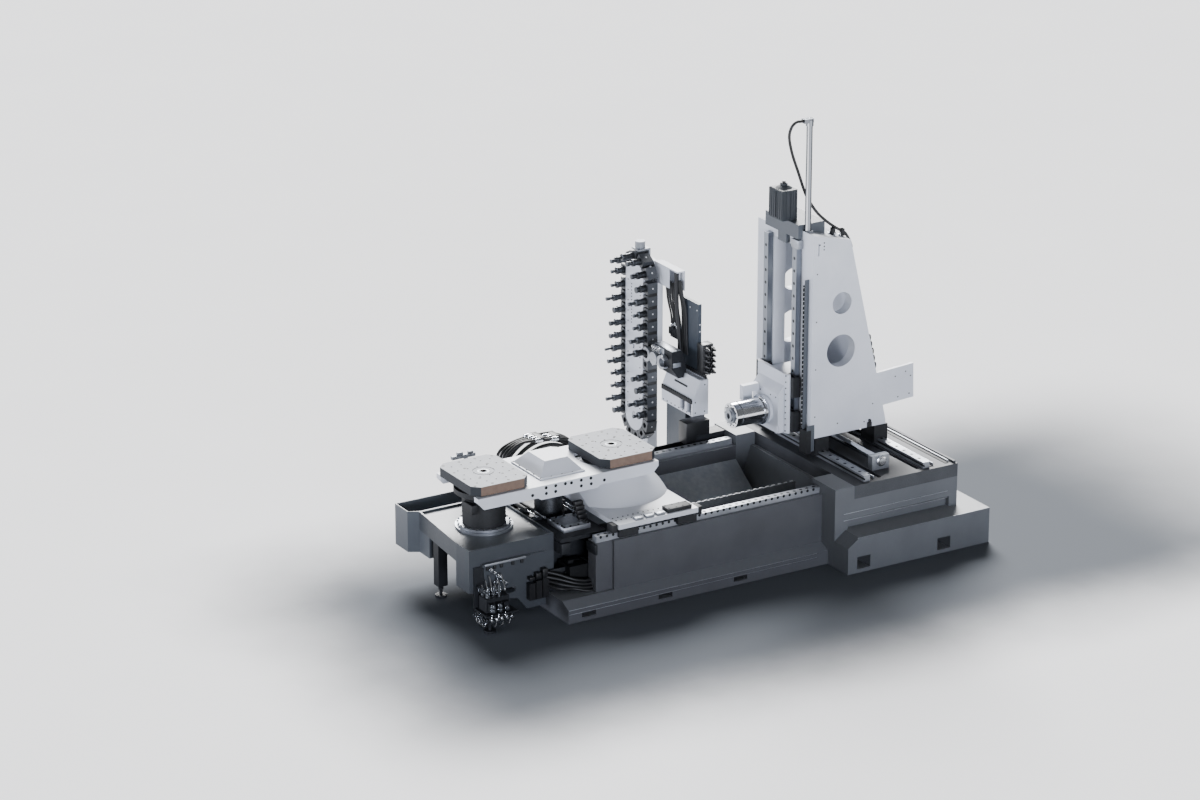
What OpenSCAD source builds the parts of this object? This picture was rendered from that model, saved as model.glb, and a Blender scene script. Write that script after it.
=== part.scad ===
// Horizontal machining centre without covers: a long bed with a sliding table, a cross bed
// with a travelling column, a two-pallet changer, a loading station and a chain magazine.
// X is across the long bed, Y runs from the loading station to the column, Z is up.

/* [Long bed] */
// Width of the long bed across its foot
foot_w = 1594; // [1500:2:1700]
// Height of the long bed's foot
foot_h = 110; // [90:5:140]
// Width of the long bed over its two walls
bed_w = 1400; // [1360:10:1440]
// Height of the long bed's walls
bed_h = 560; // [540:5:580]
// Thickness of each wall of the long bed
wall_t = 140; // [110:5:160]
// Length of the long bed, from its front edge to the cross bed
bed_l = 2386; // [2340:2:2440]
// Distance from the front edge of the foot to the start of the walls
wall_y = 316; // [280:4:350]
// Thickness of the trough floor
floor_t = 80; // [60:5:100]
// Width of the lift pockets in the feet
pocket_w = 125; // [90:5:140]
// Height of the lift pockets in the feet
pocket_h = 40; // [25:5:60]

/* [Cross bed] */
// Width of the cross bed's foot
cross_foot_w = 2160; // [2000:10:2300]
// Length of the cross bed's foot along the machine
cross_foot_l = 1364; // [1300:4:1450]
// Height of the cross bed's foot
cross_foot_h = 295; // [240:5:330]
// Width of the cross bed's body
cross_w = 1770; // [1700:10:1850]
// Length of the cross bed's body along the machine
cross_l = 1178; // [1150:2:1220]
// Thickness of the way plate on the cross bed
way_t = 110; // [80:5:140]
// Height of the top of the way plate
cross_h = 650; // [630:5:670]
// Depth of the front shelf, from the body's front face to the way plate
shelf_l = 182; // [160:2:200]

/* [Guideways] */
// Width of the linear rails
rail_w = 60; // [45:1:65]
// Height of the linear rails
rail_h = 50; // [40:1:60]
// Running gap between a rail and its carriage
rail_gap = 0.5; // [0.3:0.1:1]
// Thickness of the carriage over a rail
carriage_t = 35; // [25:1:50]
// Width of a carriage
carriage_w = 130; // [110:2:150]
// Diameter of the ball screws
screw_d = 63; // [50:1:80]
// Distance between the two rails of the cross bed
cross_gauge = 573; // [540:1:600]
// Distance between the two rails on the column
head_gauge = 410; // [390:2:430]

/* [Column] */
// Width of the column across its two side plates
column_w = 800; // [760:10:840]
// Offset of the column from the middle of the cross bed
column_x = -200; // [-300:10:0]
// Height of the column above its carriages
column_h = 1710; // [1600:10:1800]
// Length of the column along the machine at its foot
column_l = 730; // [680:10:780]
// Length of the column along the machine at its top
column_top_l = 355; // [300:5:420]
// Thickness of the column's side plates
side_t = 90; // [60:5:110]
// Width of the column's front posts
post_w = 240; // [225:5:250]
// Depth of the column's front posts
post_l = 110; // [80:5:140]
// Diameter of the large hole in the side plates
big_hole_d = 270; // [200:5:320]
// Diameter of the small hole in the side plates
small_hole_d = 182; // [120:2:220]
// Length of the counterbalance cylinder above the column
mast_h = 920; // [700:10:1000]
// Diameter of the counterbalance cylinder
mast_d = 50; // [40:1:60]
// Diameter of the hydraulic hose
hose_d = 24; // [18:1:28]

/* [Head] */
// Height of the spindle axis above the floor
spindle_z = 990; // [960:5:1020]
// Diameter of the spindle housing
housing_d = 205; // [180:5:225]
// Reach of the spindle nose in front of the headstock
housing_l = 330; // [300:10:400]
// Width of the headstock's front face
head_w = 400; // [360:5:420]
// Height of the headstock plate
head_h = 500; // [440:10:560]
// Diameter of the spindle's tool socket
socket_d = 48; // [30:1:60]

/* [Table and pallets] */
// Side of a pallet across the machine
pallet_w = 600; // [560:10:620]
// Side of a pallet along the machine
pallet_l = 500; // [460:10:510]
// Thickness of a pallet
pallet_t = 75; // [60:5:90]
// Corner chamfer of a pallet
pallet_c = 60; // [40:5:80]
// Height of the pallet tops
pallet_z = 1055; // [1040:5:1070]
// Distance between the pallet centres and the changer's axis
pallet_reach = 574; // [560:2:600]
// Distance from the front edge of the bed to the changer's axis
changer_y = 287; // [270:1:300]
// Diameter of the pallet's centre bore
pallet_bore_d = 50; // [40:1:60]
// Length of the saddle along the machine
saddle_l = 720; // [640:10:740]
// Thickness of the saddle plate
saddle_t = 40; // [30:1:50]
// Diameter of the rotary tables
table_d = 470; // [430:5:490]
// Thickness of the rotary tables' rim
table_t = 40; // [30:1:50]

/* [Pallet changer] */
// Width of the changer arm
arm_w = 660; // [640:5:690]
// Length of the changer arm
arm_l = 1610; // [1500:10:1660]
// Thickness of the arm's fork plate
arm_t = 40; // [30:1:50]
// Depth of the arm's side skirts
skirt_h = 95; // [80:1:105]
// Thickness of the arm's side skirts
skirt_t = 16; // [10:1:20]
// Width of the forks' openings
fork_gap = 524; // [510:2:560]
// Diameter of the changer's lifting column
lift_d = 220; // [180:5:260]

/* [Loading station] */
// Width of the front frame
frame_w = 920; // [860:10:960]
// Length of the front frame along the machine
frame_l = 746; // [700:2:780]
// Height of the top of the front frame
frame_h = 620; // [600:5:640]
// Depth of the front frame
frame_d = 350; // [300:10:380]
// Thickness of the frame's walls
frame_t = 12; // [8:1:16]
// Width of the coolant tub
tub_w = 250; // [200:10:300]
// Diameter of the station ring
ring_d = 452; // [420:2:480]
// Diameter of the station's turning hub
hub_d = 340; // [300:5:360]
// Diameter of the foot pads
pad_d = 90; // [70:2:110]

/* [Tool magazine] */
// Distance from one tool pot to the next
pot_pitch = 110; // [104:1:116]
// Number of pots in each straight run
run_pots = 11; // [9:1:12]
// Side of a tool pot
pot_w = 98; // [80:1:100]
// Depth of a tool pot along its tool
pot_l = 95; // [80:1:110]
// Distance of the magazine's middle plane from the bed's middle
magazine_x = 1685; // [1660:5:1720]
// Height of the magazine's lower wheel
magazine_z = 530; // [500:5:600]
// Thickness of the magazine's face plate
face_t = 20; // [12:1:30]
// Length of the tool changer's guide
guide_l = 480; // [440:10:520]
// Height of the tool changer's axis
changer_z = 1150; // [1120:5:1180]
// Reach of the tool changer's arm
gripper_r = 160; // [154:2:164]
// Distance of the guide's far end from the bed's middle
guide_far = 1330; // [1310:5:1350]
// Depth of the tool changer's guide
guide_d = 150; // [140:5:160]

/* [Hidden] */
$fn = 48;

// Gap left between two bodies that move past each other, and the radial gap of a running fit
gap = 0.4;
fit = 0.05;
eps = 1;

// Reach of the whole machine, used to centre it on its own box
pot_r = 10 * pot_pitch / (2 * PI);
run_l = run_pots * pot_pitch;
near_x = cross_foot_w / 2;
rear_y = bed_l + cross_foot_l;

// Heights that follow from the driving sizes
rail_top = bed_h + rail_h;
saddle_z = rail_top + carriage_t;
saddle_top = saddle_z + saddle_t;
cross_rail_top = cross_h + rail_h;
column_z = cross_rail_top + carriage_t + 80;
column_top = column_z + column_h;
pallet_base = pallet_z - pallet_t;
table_base = pallet_base - 2 * table_t;
arm_top = pallet_base - 6;
arm_base = arm_top - skirt_h - 20;

// Places along the machine
station_y = changer_y - pallet_reach;
table_y = changer_y + pallet_reach;
frame_front = 384;
frame_y = station_y - frame_front;
plate_y = bed_l + shelf_l;
x_rail_y = [plate_y + 143, plate_y + 143 + cross_gauge];
column_y = x_rail_y[0] - 111;
x_screw_y = (x_rail_y[0] + x_rail_y[1]) / 2 - 42;
x_screw_z = cross_h + 74;
rail_y = column_y - rail_h;
head_y = rail_y - carriage_t;
head_front = head_y - 85;
nose_y = head_front - housing_l;

// Places across the machine
z_rail_x = bed_w / 2 - 60;
z_screw_x = bed_w / 2 - 245;
z_screw_z = 260;
post_x = column_w / 2 - post_w;
mast_x = column_w / 2 - 125;
mast_y = column_y + 26;

// Places of the pots along the chain, each as [x, z, angle] from the middle of the magazine
half_turn = 5;
high_z = magazine_z + run_l;
pots_at = concat(
    [for (i = [0 : run_pots - 1]) [pot_r, magazine_z + (i + 0.5) * pot_pitch, 0]],
    [for (k = [1 : half_turn]) let(a = (k * (half_turn + 1.5) / (half_turn + 1) - 0.5) * 180 / half_turn)
        [pot_r * cos(a), high_z + pot_r * sin(a), a]],
    [for (i = [0 : run_pots - 1]) [-pot_r, high_z - (i + 1) * pot_pitch, 180]],
    [for (k = [1 : half_turn]) let(a = 180 + k * (half_turn + 0.5) / (half_turn + 1) * 180 / half_turn)
        [pot_r * cos(a), magazine_z + pot_r * sin(a), a]]);
pot_t = 78;
pot_reach = max([for (at = pots_at) pot_w / 2 * abs(sin(at[2])) - (pot_r + pot_t / 2) * cos(at[2])]);

// Moves the model so that its origin is under the middle of its box, on the floor
far_x = -magazine_x - pot_reach;
tub_front = frame_y - 6;
module place() {
    translate([-(far_x + near_x) / 2, -(tub_front + rear_y) / 2, 0]) children();
}

// Box between any two opposite corners
module span(a, b) {
    low = [for (i = [0 : 2]) min(a[i], b[i])];
    high = [for (i = [0 : 2]) max(a[i], b[i])];
    translate(low) cube(high - low);
}

// Cylinder along Y from y0 to y1
module rod_y(x, z, y0, y1, d) {
    translate([x, y1, z]) rotate([90, 0, 0]) cylinder(d = d, h = y1 - y0);
}

// Cylinder along X from x0 to x1
module rod_x(y, z, x0, x1, d) {
    translate([x0, y, z]) rotate([0, 90, 0]) cylinder(d = d, h = x1 - x0);
}

// Plate of constant section across the machine, from an outline of [y, z] points
module slab(x0, x1, points) {
    translate([x0, 0, 0]) rotate([90, 0, 90]) linear_extrude(x1 - x0) polygon(points);
}

// Bar of constant section along the machine, from an outline of [x, z] points
module bar(y0, y1, points) {
    translate([0, y1, 0]) rotate([90, 0, 0]) linear_extrude(y1 - y0) polygon(points);
}

// Tube of round section through a list of points, as one closed skin
function unit(v) = v / norm(v);
function tangent(p, i) = unit(p[min(i + 1, len(p) - 1)] - p[max(i - 1, 0)]);
function across(t) = unit(cross(t, abs(t[2]) < 0.9 ? [0, 0, 1] : [0, 1, 0]));
function carry(p, i, before) = let(t = tangent(p, i)) unit(before - t * (before * t));
function frames(p, i = 0, side = undef) =
    i >= len(p) ? [] :
    let(s = i == 0 ? across(tangent(p, 0)) : carry(p, i, side))
    concat([s], frames(p, i + 1, s));
module tube(p, d, sides) {
    side = frames(p);
    points = [for (i = [0 : len(p) - 1], k = [0 : sides - 1])
        let(a = 360 * k / sides, up = cross(tangent(p, i), side[i]))
        p[i] + d / 2 * (cos(a) * side[i] + sin(a) * up)];
    last = (len(p) - 1) * sides;
    walls = [for (i = [0 : len(p) - 2], k = [0 : sides - 1])
        let(a = i * sides + k, b = i * sides + (k + 1) % sides)
        [a, a + sides, b + sides, b]];
    polyhedron(points, concat([[for (k = [0 : sides - 1]) k]], walls,
        [[for (k = [sides - 1 : -1 : 0]) last + k]]));
}

// Points of a smooth curve through a few hand-placed ones
function blend(a, b, c, d, t) = 0.5 * (2 * b + (c - a) * t + (2 * a - 5 * b + 4 * c - d) * t * t
    + (3 * b - a - 3 * c + d) * t * t * t);
function smooth(p, n) = concat([for (i = [0 : len(p) - 2], k = [0 : n - 1])
    blend(p[max(i - 1, 0)], p[i], p[i + 1], p[min(i + 2, len(p) - 1)], k / n)], [p[len(p) - 1]]);

// Long bed with its foot, two walls, trough floor and lift pockets
ledge_z = foot_h + 45;
z_pocket_y = [119, 810, 1500];
recess_t = 26;
module z_bed() {
    half = foot_w / 2;
    wall = bed_w / 2;
    color("#55585d") difference() {
        union() {
            bar(0, bed_l, [[-half, 0], [half, 0], [half, foot_h], [wall, ledge_z],
                [-wall, ledge_z], [-half, foot_h]]);
            for (side = [-1, 1])
                span([side > 0 ? wall - wall_t : -wall, wall_y, ledge_z - eps],
                    [side > 0 ? wall : wall_t - wall, bed_l, bed_h]);
        }
        for (y = z_pocket_y)
            span([-half - eps, y, 30], [half + eps, y + pocket_w, 30 + pocket_h]);
        span([wall_t - wall, wall_y + wall_t, floor_t], [-wall + wall_t + 60, bed_l + eps, ledge_z + eps]);
        span([wall - recess_t, 316, ledge_z], [wall + eps, 465, bed_h + eps]);
    }
}

// Cross bed with its wide foot, corner blocks and the sloping end of the trough
x_pocket_y = [88, 860];
module x_bed() {
    half = cross_foot_w / 2;
    body = cross_w / 2;
    wall = bed_w / 2 - wall_t;
    body_top = cross_h - way_t;
    color("#5a5c60") difference() {
        union() {
            span([-half, bed_l, 0], [half, rear_y, cross_foot_h]);
            span([-body, bed_l, cross_foot_h - eps], [body, bed_l + cross_l, body_top]);
            for (side = [-1, 1])
                span([side > 0 ? wall : -body, bed_l, body_top - eps],
                    [side > 0 ? body : -wall, plate_y, cross_h]);
        }
        slab(-wall, wall, [[bed_l - eps, ledge_z], [bed_l + 20, ledge_z], [plate_y, cross_h],
            [plate_y, cross_h + eps], [bed_l - eps, cross_h + eps]]);
        for (side = [-1, 1])
            slab(side > 0 ? body : -half - eps, side > 0 ? half + eps : -body,
                [[bed_l - eps, cross_foot_h - 75], [bed_l + 105, cross_foot_h + eps],
                [bed_l - eps, cross_foot_h + eps]]);
        for (side = [-1, 1])
            slab(side > 0 ? body - 45 : -body - eps, side > 0 ? body + eps : 45 - body,
                [[bed_l + 125, cross_foot_h], [bed_l + cross_l - 78, cross_foot_h],
                [bed_l + cross_l - 78, cross_foot_h + 85], [bed_l + 125, cross_foot_h + 85]]);
        for (y = x_pocket_y)
            span([-half - eps, bed_l + y, 30], [half + eps, bed_l + y + pocket_w, 30 + 2.6 * pocket_h]);
    }
}

// Machined plate that carries the rails of the cross bed
module x_way_plate() {
    body = cross_w / 2;
    end_y = bed_l + cross_l;
    slot_l = body - 60;
    color("#3c3e42") difference() {
        union() {
            span([-body, plate_y, cross_h - way_t], [body, end_y, cross_h]);
            span([-body, end_y - 30, cross_h - eps], [body - 20, end_y - 8, cross_h + 18]);
        }
        for (y = [x_rail_y[0] + 125, x_rail_y[1] - 85])
            span([-slot_l, y, cross_h - 22], [slot_l, y + 34, cross_h + eps]);
    }
}

// Sheet walls and chutes that line the trough
liner_x = 312;
liner_y = frame_y + frame_l + 415;
module trough_liner() {
    wall = bed_w / 2 - wall_t;
    color("#8b9096") {
        bar(liner_y, bed_l, [[liner_x - 12, ledge_z], [liner_x, ledge_z], [liner_x, bed_h - 20],
            [liner_x - 12, bed_h - 20]]);
        bar(liner_y, bed_l, [[liner_x - 12 + eps, ledge_z + 190], [liner_x - 12 + eps, ledge_z + 180],
            [40, ledge_z], [20, ledge_z], [20, ledge_z + 4]]);
        bar(liner_y, bed_l, [[-wall, ledge_z + 290], [-wall, ledge_z + 280],
            [-170, ledge_z], [-150, ledge_z], [-150, ledge_z + 4]]);
    }
}

// Sloping cover over the drive screw of the table
module screw_cover() {
    color("#a9adb3") bar(liner_y, bed_l, [[liner_x, bed_h - 130], [bed_w / 2 - wall_t - 42, bed_h - 62],
        [bed_w / 2 - wall_t - 42, bed_h - 56], [liner_x, bed_h - 122]]);
}

// Pair of linear rails on the walls of the long bed
module z_rails() {
    color("#d5d8dc") for (side = [-1, 1])
        span([side * z_rail_x - rail_w / 2, wall_y + 8, bed_h],
            [side * z_rail_x + rail_w / 2, bed_l - 6, rail_top]);
}

// Pair of linear rails across the cross bed
module x_rails() {
    color("#d5d8dc") for (y = x_rail_y)
        span([40 - cross_w / 2, y - rail_w / 2, cross_h],
            [cross_w / 2 - 40, y + rail_w / 2, cross_rail_top]);
}

// Carriage over a rail that runs along X, standing on its rail at the given middle point
module carriage(l, h) {
    groove = rail_w + 2 * rail_gap;
    depth = rail_h + rail_gap;
    difference() {
        translate([-l / 2, -carriage_w / 2, 16]) cube([l, carriage_w, h - 16]);
        translate([-l / 2 - eps, -groove / 2, -eps]) cube([l + 2 * eps, groove, depth + eps]);
    }
}

// Servo motor of square section along +X, with its flange at x = 0
module servo(w, l) {
    difference() {
        translate([0, -w / 2, -w / 2]) cube([l, w, w]);
        for (a = [0 : 90 : 270])
            rotate([a, 0, 0]) translate([14, w / 2 - 6, -w / 7]) cube([l - 40, 7, 2 * w / 7]);
    }
    translate([l - eps, -w / 5, -w / 5]) cube([14 + eps, 2 * w / 5, 2 * w / 5]);
    translate([l - 70, -24, w / 2 - eps]) cube([48, 48, 26 + eps]);
}

// Drive of the table: motor at the front of the long bed
z_block_y = [wall_y + 14, bed_l - 96];
block_l = 60;
motor_w = 180;
module z_motor() {
    color("#1d1e20") translate([z_screw_x, z_block_y[0], z_screw_z]) rotate([0, 0, -90])
        servo(motor_w, 170);
}

// Drive of the column: motor at the far end of the cross bed
x_block_x = [-cross_w / 2 + 20, cross_w / 2 - 265];
module x_motor() {
    color("#1d1e20") translate([x_block_x[0], x_screw_y, x_screw_z]) mirror([1, 0, 0])
        servo(motor_w - 40, 210);
}

// Bearing blocks at both ends of the two long drive screws
module screw_bearings() {
    color("#c3c6ca") {
        for (y = z_block_y) difference() {
            span([z_screw_x - 80, y, ledge_z], [z_screw_x + 80, y + block_l, z_screw_z + 75]);
            rod_y(z_screw_x, z_screw_z, y - eps, y + block_l + eps, screw_d + 2 * fit);
        }
        for (x = x_block_x) difference() {
            span([x, x_screw_y - 80, cross_h], [x + block_l, x_screw_y + 80, x_screw_z + 45]);
            rod_x(x_screw_y, x_screw_z, x - eps, x + block_l + eps, screw_d + 2 * fit);
        }
    }
}

// Ball screws of the table and the column
module z_ballscrew() {
    color("#c9ccd0") rod_y(z_screw_x, z_screw_z, z_block_y[0] + 2, z_block_y[1] + block_l, screw_d);
}
module x_ballscrew() {
    color("#c9ccd0") rod_x(x_screw_y, x_screw_z, x_block_x[0] + 2, x_block_x[1] + block_l + 30, screw_d);
}

// Cable trough, junction box and hose shelf on the far side of the long bed
module cable_channel() {
    wall = -bed_w / 2;
    start_y = 1400;
    box_y = bed_l - 280;
    color("#232527") {
        difference() {
            span([wall - 130, start_y, bed_h - 90], [wall, bed_l, bed_h + 20]);
            span([wall - 120, start_y + 8, bed_h - 80], [wall - 10, box_y, bed_h + 20 + eps]);
            span([wall - 10, start_y - eps, bed_h - 1], [wall + eps, bed_l + eps, bed_h + 20 + eps]);
        }
        span([wall - 150, box_y, bed_h + 20], [wall - 20, bed_l - 8, bed_h + 85]);
        span([wall - 190, arch_y - 420, bed_h - 60], [wall, arch_y + 420, bed_h - 44]);
    }
}

// Arch of three hoses on the shelf beside the long bed
arch_y = 715;
arch_d = 34;
module hose_arch() {
    color("#1b1c1e") for (k = [0 : 2])
        translate([-bed_w / 2 - 150 + 50 * k, arch_y, bed_h - 44]) rotate([90, 0, 90])
            rotate_extrude(angle = 180) translate([370 - 30 * k, 0]) circle(d = arch_d);
}

// Block behind the front frame that carries the changer's column
base_y = frame_y + frame_l;
base_l = 405;
base_end = base_y + base_l;
base_top = frame_h - 20;
module changer_base() {
    far = wall_t + 160 - bed_w / 2;
    near = z_screw_x - motor_w / 2 - 35;
    wall = 30;
    color("#3f4246") difference() {
        union() {
            span([far, base_y, ledge_z], [near, base_end, base_top]);
            span([-bed_w / 2 + wall_t + 5, base_y, base_top - 30],
                [bed_w / 2 - wall_t - 5, base_end, base_top]);
        }
        difference() {
            span([far + wall, base_y + wall, ledge_z - eps], [near - wall, base_end - wall, base_top - wall]);
            translate([0, changer_y, ledge_z]) cylinder(d = lift_d + 70, h = base_top);
        }
        translate([0, changer_y, ledge_z + wall]) cylinder(d = lift_d + 2 * fit, h = base_top);
    }
}

// Front frame of plate, deep at its near corner and shallow elsewhere
frame_near = frame_w / 2 - 15;
frame_far = frame_near - frame_w;
deep_x = 250;
deck_z = frame_h - 18;
frame_low = frame_h - frame_d;
apron_h = 150;
function frame_outline(inset) = [
    [frame_far + inset, base_y - inset], [frame_far + inset, frame_y + 73 + inset],
    [deep_x, frame_y + inset], [frame_near - inset, frame_y + inset],
    [frame_near - inset, base_y - inset]
];
module front_frame() {
    color("#6d7278") difference() {
        translate([0, 0, frame_low]) linear_extrude(frame_d) polygon(frame_outline(0));
        translate([0, 0, deck_z]) linear_extrude(frame_h) polygon(frame_outline(frame_t));
        translate([0, 0, frame_low - eps]) linear_extrude(frame_d - 30 + eps)
            polygon(frame_outline(frame_t));
        span([frame_far - eps, frame_y - eps, frame_low - eps],
            [deep_x - frame_t, base_y + eps, frame_h - apron_h]);
    }
}

// Coolant tub at the far front corner, wider under the frame's apron
tub_far = frame_far - tub_w;
tub_low = frame_low + 10;
function tub_outline(inset, near) = [
    [tub_far + inset, base_y - inset], [tub_far + inset, tub_front + inset],
    [frame_far - 47, tub_front + inset], [frame_far - inset, frame_y + 73 + inset],
    [near - inset, frame_y + 73 + inset], [near - inset, base_y - inset]
];
module coolant_tub() {
    sheet = 8;
    split = frame_h - apron_h - eps;
    near = frame_far + 160;
    color("#7d838a") difference() {
        union() {
            translate([0, 0, tub_low]) linear_extrude(split - tub_low) polygon(tub_outline(0, near));
            translate([0, 0, split - eps]) linear_extrude(frame_h - split + eps)
                polygon(tub_outline(0, frame_far));
        }
        translate([0, 0, tub_low + sheet]) linear_extrude(split - tub_low - 2 * sheet)
            polygon(tub_outline(sheet, near));
        translate([0, 0, split - sheet - eps]) linear_extrude(frame_h) polygon(tub_outline(sheet, frame_far));
    }
}

// Lower panel on the near side of the front frame, with its ledge and slot
side_y = frame_y + 120;
ledge_top = 494;
ledge_t = 16;
module side_panel() {
    color("#63676c") difference() {
        union() {
            slab(frame_near, frame_near + 14, [[side_y, 210], [side_y + 300, 150],
                [side_y + 380, 50], [-4, 50], [-4, ledge_top], [side_y, ledge_top]]);
            span([frame_near, side_y - 20, ledge_top - ledge_t], [frame_near + 34, side_y + 400, ledge_top]);
        }
        for (y = [side_y + 190, side_y + 260])
            rod_x(y, 233, frame_near - eps, frame_near + 15, 50);
        span([frame_near - eps, side_y + 190, 208], [frame_near + 15, side_y + 260, 258]);
    }
}

// Feet of the front frame: post, screw and pad
pad_t = 18;
post_s = 80;
feet_at = [[-200, frame_y + 106], [-182, base_y - 125], [300, frame_y + 270],
    [300, base_y - 125]];
module frame_feet() {
    color("#2a2c2f") for (at = feet_at) {
        span([at[0] - post_s / 2, at[1] - post_s / 2, 95], [at[0] + post_s / 2, at[1] + post_s / 2, deck_z - 12]);
        translate([at[0], at[1], pad_t - eps]) cylinder(d = 24, h = 95 - pad_t + 2 * eps);
        translate([at[0], at[1], 0]) cylinder(d = pad_d, h = pad_t);
        translate([at[0], at[1], 60]) cylinder(d = 40, h = 16);
    }
}

// Hydraulic manifold on its bracket beside the front frame
unit_y = frame_y + 55;
unit_l = 250;
shelf_z = 150;
module hydraulic_manifold() {
    color("#34373a") {
        slab(frame_near, frame_near + 10, [[unit_y - 20, shelf_z], [unit_y + 60, shelf_z],
            [unit_y + 60, ledge_top - ledge_t], [unit_y - 20, ledge_top - ledge_t]]);
        span([frame_near, unit_y - 20, shelf_z - 12], [frame_near + 210, unit_y + unit_l, shelf_z]);
        span([frame_near + 30, unit_y + 10, shelf_z], [frame_near + 150, unit_y + unit_l - 40, shelf_z + 110]);
        for (k = [0 : 2])
            span([frame_near + 150 - eps, unit_y + 20 + 62 * k, shelf_z + 20],
                [frame_near + 190, unit_y + 64 + 62 * k, shelf_z + 80]);
        translate([frame_near + 165, unit_y + 30, pad_t - eps]) cylinder(d = 24, h = shelf_z - 12 - pad_t + 2 * eps);
        translate([frame_near + 165, unit_y + 30, 0]) cylinder(d = pad_d, h = pad_t);
    }
}

// Unions, gauges and plugs of the hydraulic manifold
module hydraulic_fittings() {
    color("#d9dcdf") {
        for (k = [0 : 3]) {
            translate([frame_near + 55 + 26 * k, unit_y + 40 + 30 * k, shelf_z + 110]) {
                cylinder(d = 26, h = 16, $fn = 6);
                cylinder(d = 16, h = 52 + 14 * k);
            }
            rod_x(unit_y + 60 + 45 * k, shelf_z - 36, frame_near + 40, frame_near + 200, 20);
            rod_x(unit_y + 60 + 45 * k, shelf_z - 36, frame_near + 110, frame_near + 140, 40);
        }
        span([frame_near + 60, unit_y + 10, shelf_z - 60], [frame_near + 100, unit_y + 210, shelf_z - 12]);
    }
}

// Row of terminal boxes on the side panel
module terminal_boxes() {
    color("#17181a") for (k = [0 : 2])
        span([frame_near + 14, 60 * k - 178, 130], [frame_near + 66, 60 * k - 126, 268 + 12 * k]);
}

// Bolted ring round the station's hub, on the deck of the frame
ring_t = 38;
module station_ring() {
    color("#8f9499") translate([0, station_y, deck_z]) difference() {
        union() {
            cylinder(d = ring_d, h = ring_t * 0.5);
            cylinder(d = ring_d - 40, h = ring_t);
        }
        translate([0, 0, -eps]) cylinder(d = hub_d + 2 * fit, h = ring_t + 2 * eps);
    }
}

// Turning hub and table of the loading station
cone_h = 45;
module station_table() {
    color("#4a4d51") translate([0, station_y, 0]) {
        translate([0, 0, deck_z + gap]) cylinder(d = hub_d, h = table_base - cone_h - deck_z - gap);
        translate([0, 0, table_base - cone_h - eps]) cylinder(d1 = hub_d, d2 = table_d, h = cone_h + eps);
        translate([0, 0, table_base - eps]) cylinder(d = table_d, h = table_t + eps);
        translate([0, 0, table_base + table_t - eps]) cylinder(d = table_d - 80, h = table_t + eps);
    }
}

// Pallet with cut corners, centre bore and a grid of tapped holes
hole_d = 14;
hole_pitch = 100;
module pallet(y) {
    w = pallet_w / 2;
    l = pallet_l / 2;
    c = pallet_c;
    grid = [for (i = [-2 : 2], j = [-2 : 2]) if (i != 0 || j != 0) [i, j]];
    translate([0, y, pallet_base]) difference() {
        linear_extrude(pallet_t) polygon([[-w + c, -l], [w - c, -l], [w, -l + c], [w, l - c],
            [w - c, l], [c - w, l], [-w, l - c], [-w, c - l]]);
        translate([0, 0, -eps]) cylinder(d = pallet_bore_d, h = pallet_t + 2 * eps);
        translate([0, 0, pallet_t - 3]) difference() {
            cylinder(d = 176, h = 4);
            translate([0, 0, -eps]) cylinder(d = 160, h = 6);
        }
        for (at = grid)
            translate([at[0] * hole_pitch, at[1] * (hole_pitch - 15), pallet_t - 32]) cylinder(d = hole_d, h = 33);
    }
}
module pallet_rear() { color("#c8cbd0") pallet(table_y); }
module pallet_front() { color("#c8cbd0") pallet(station_y); }

// Saddle of the table: plate on four carriages, round tower and the nut of the drive screw
spigot_d = 280;
tower_d = 880;
tower_gap = 12;
module saddle() {
    l = saddle_l / 2;
    nut_x = bed_w / 2 - wall_t - 8;
    tower_top = table_base - gap;
    color("#dfe2e6") difference() {
        union() {
            span([-z_rail_x - 70, table_y - l, saddle_z], [z_rail_x + 70, table_y + l, saddle_top]);
            intersection() {
                translate([0, table_y, saddle_top - eps])
                    cylinder(d1 = tower_d, d2 = table_d + 14, h = tower_top - saddle_top + eps);
                span([-tower_d, table_y - l, saddle_z], [tower_d, table_y + l, table_base]);
            }
            span([nut_x - 24, table_y - 60, z_screw_z - 55], [nut_x, table_y + 60, saddle_z + eps]);
            span([z_screw_x - 55, table_y - 60, z_screw_z - 55], [nut_x, table_y + 60, z_screw_z + 55]);
        }
        translate([0, table_y, table_base - 48]) cylinder(d = spigot_d + 2 * fit, h = 50);
        rod_y(z_screw_x, z_screw_z, table_y - 61, table_y + 61, screw_d + 2 * fit);
    }
}
module z_carriages() {
    color("#2e3033") for (side = [-1, 1], end = [-1, 1])
        translate([side * z_rail_x, table_y + end * (saddle_l / 2 - 95), bed_h]) rotate([0, 0, 90])
            carriage(170, saddle_z - bed_h);
}

// Rotary table on the saddle, with its spigot
module rotary_table() {
    color("#b4b8bd") translate([0, table_y, table_base]) {
        translate([0, 0, -44]) cylinder(d = spigot_d, h = 44 + eps);
        cylinder(d = table_d, h = table_t);
        translate([0, 0, table_t - eps]) cylinder(d = table_d - 80, h = table_t + eps);
    }
}

// Lifting column of the pallet changer
module changer_column() {
    color("#9aa0a6") translate([0, changer_y, base_top - 380]) cylinder(d = lift_d, h = arm_base - base_top + 380);
}

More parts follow.
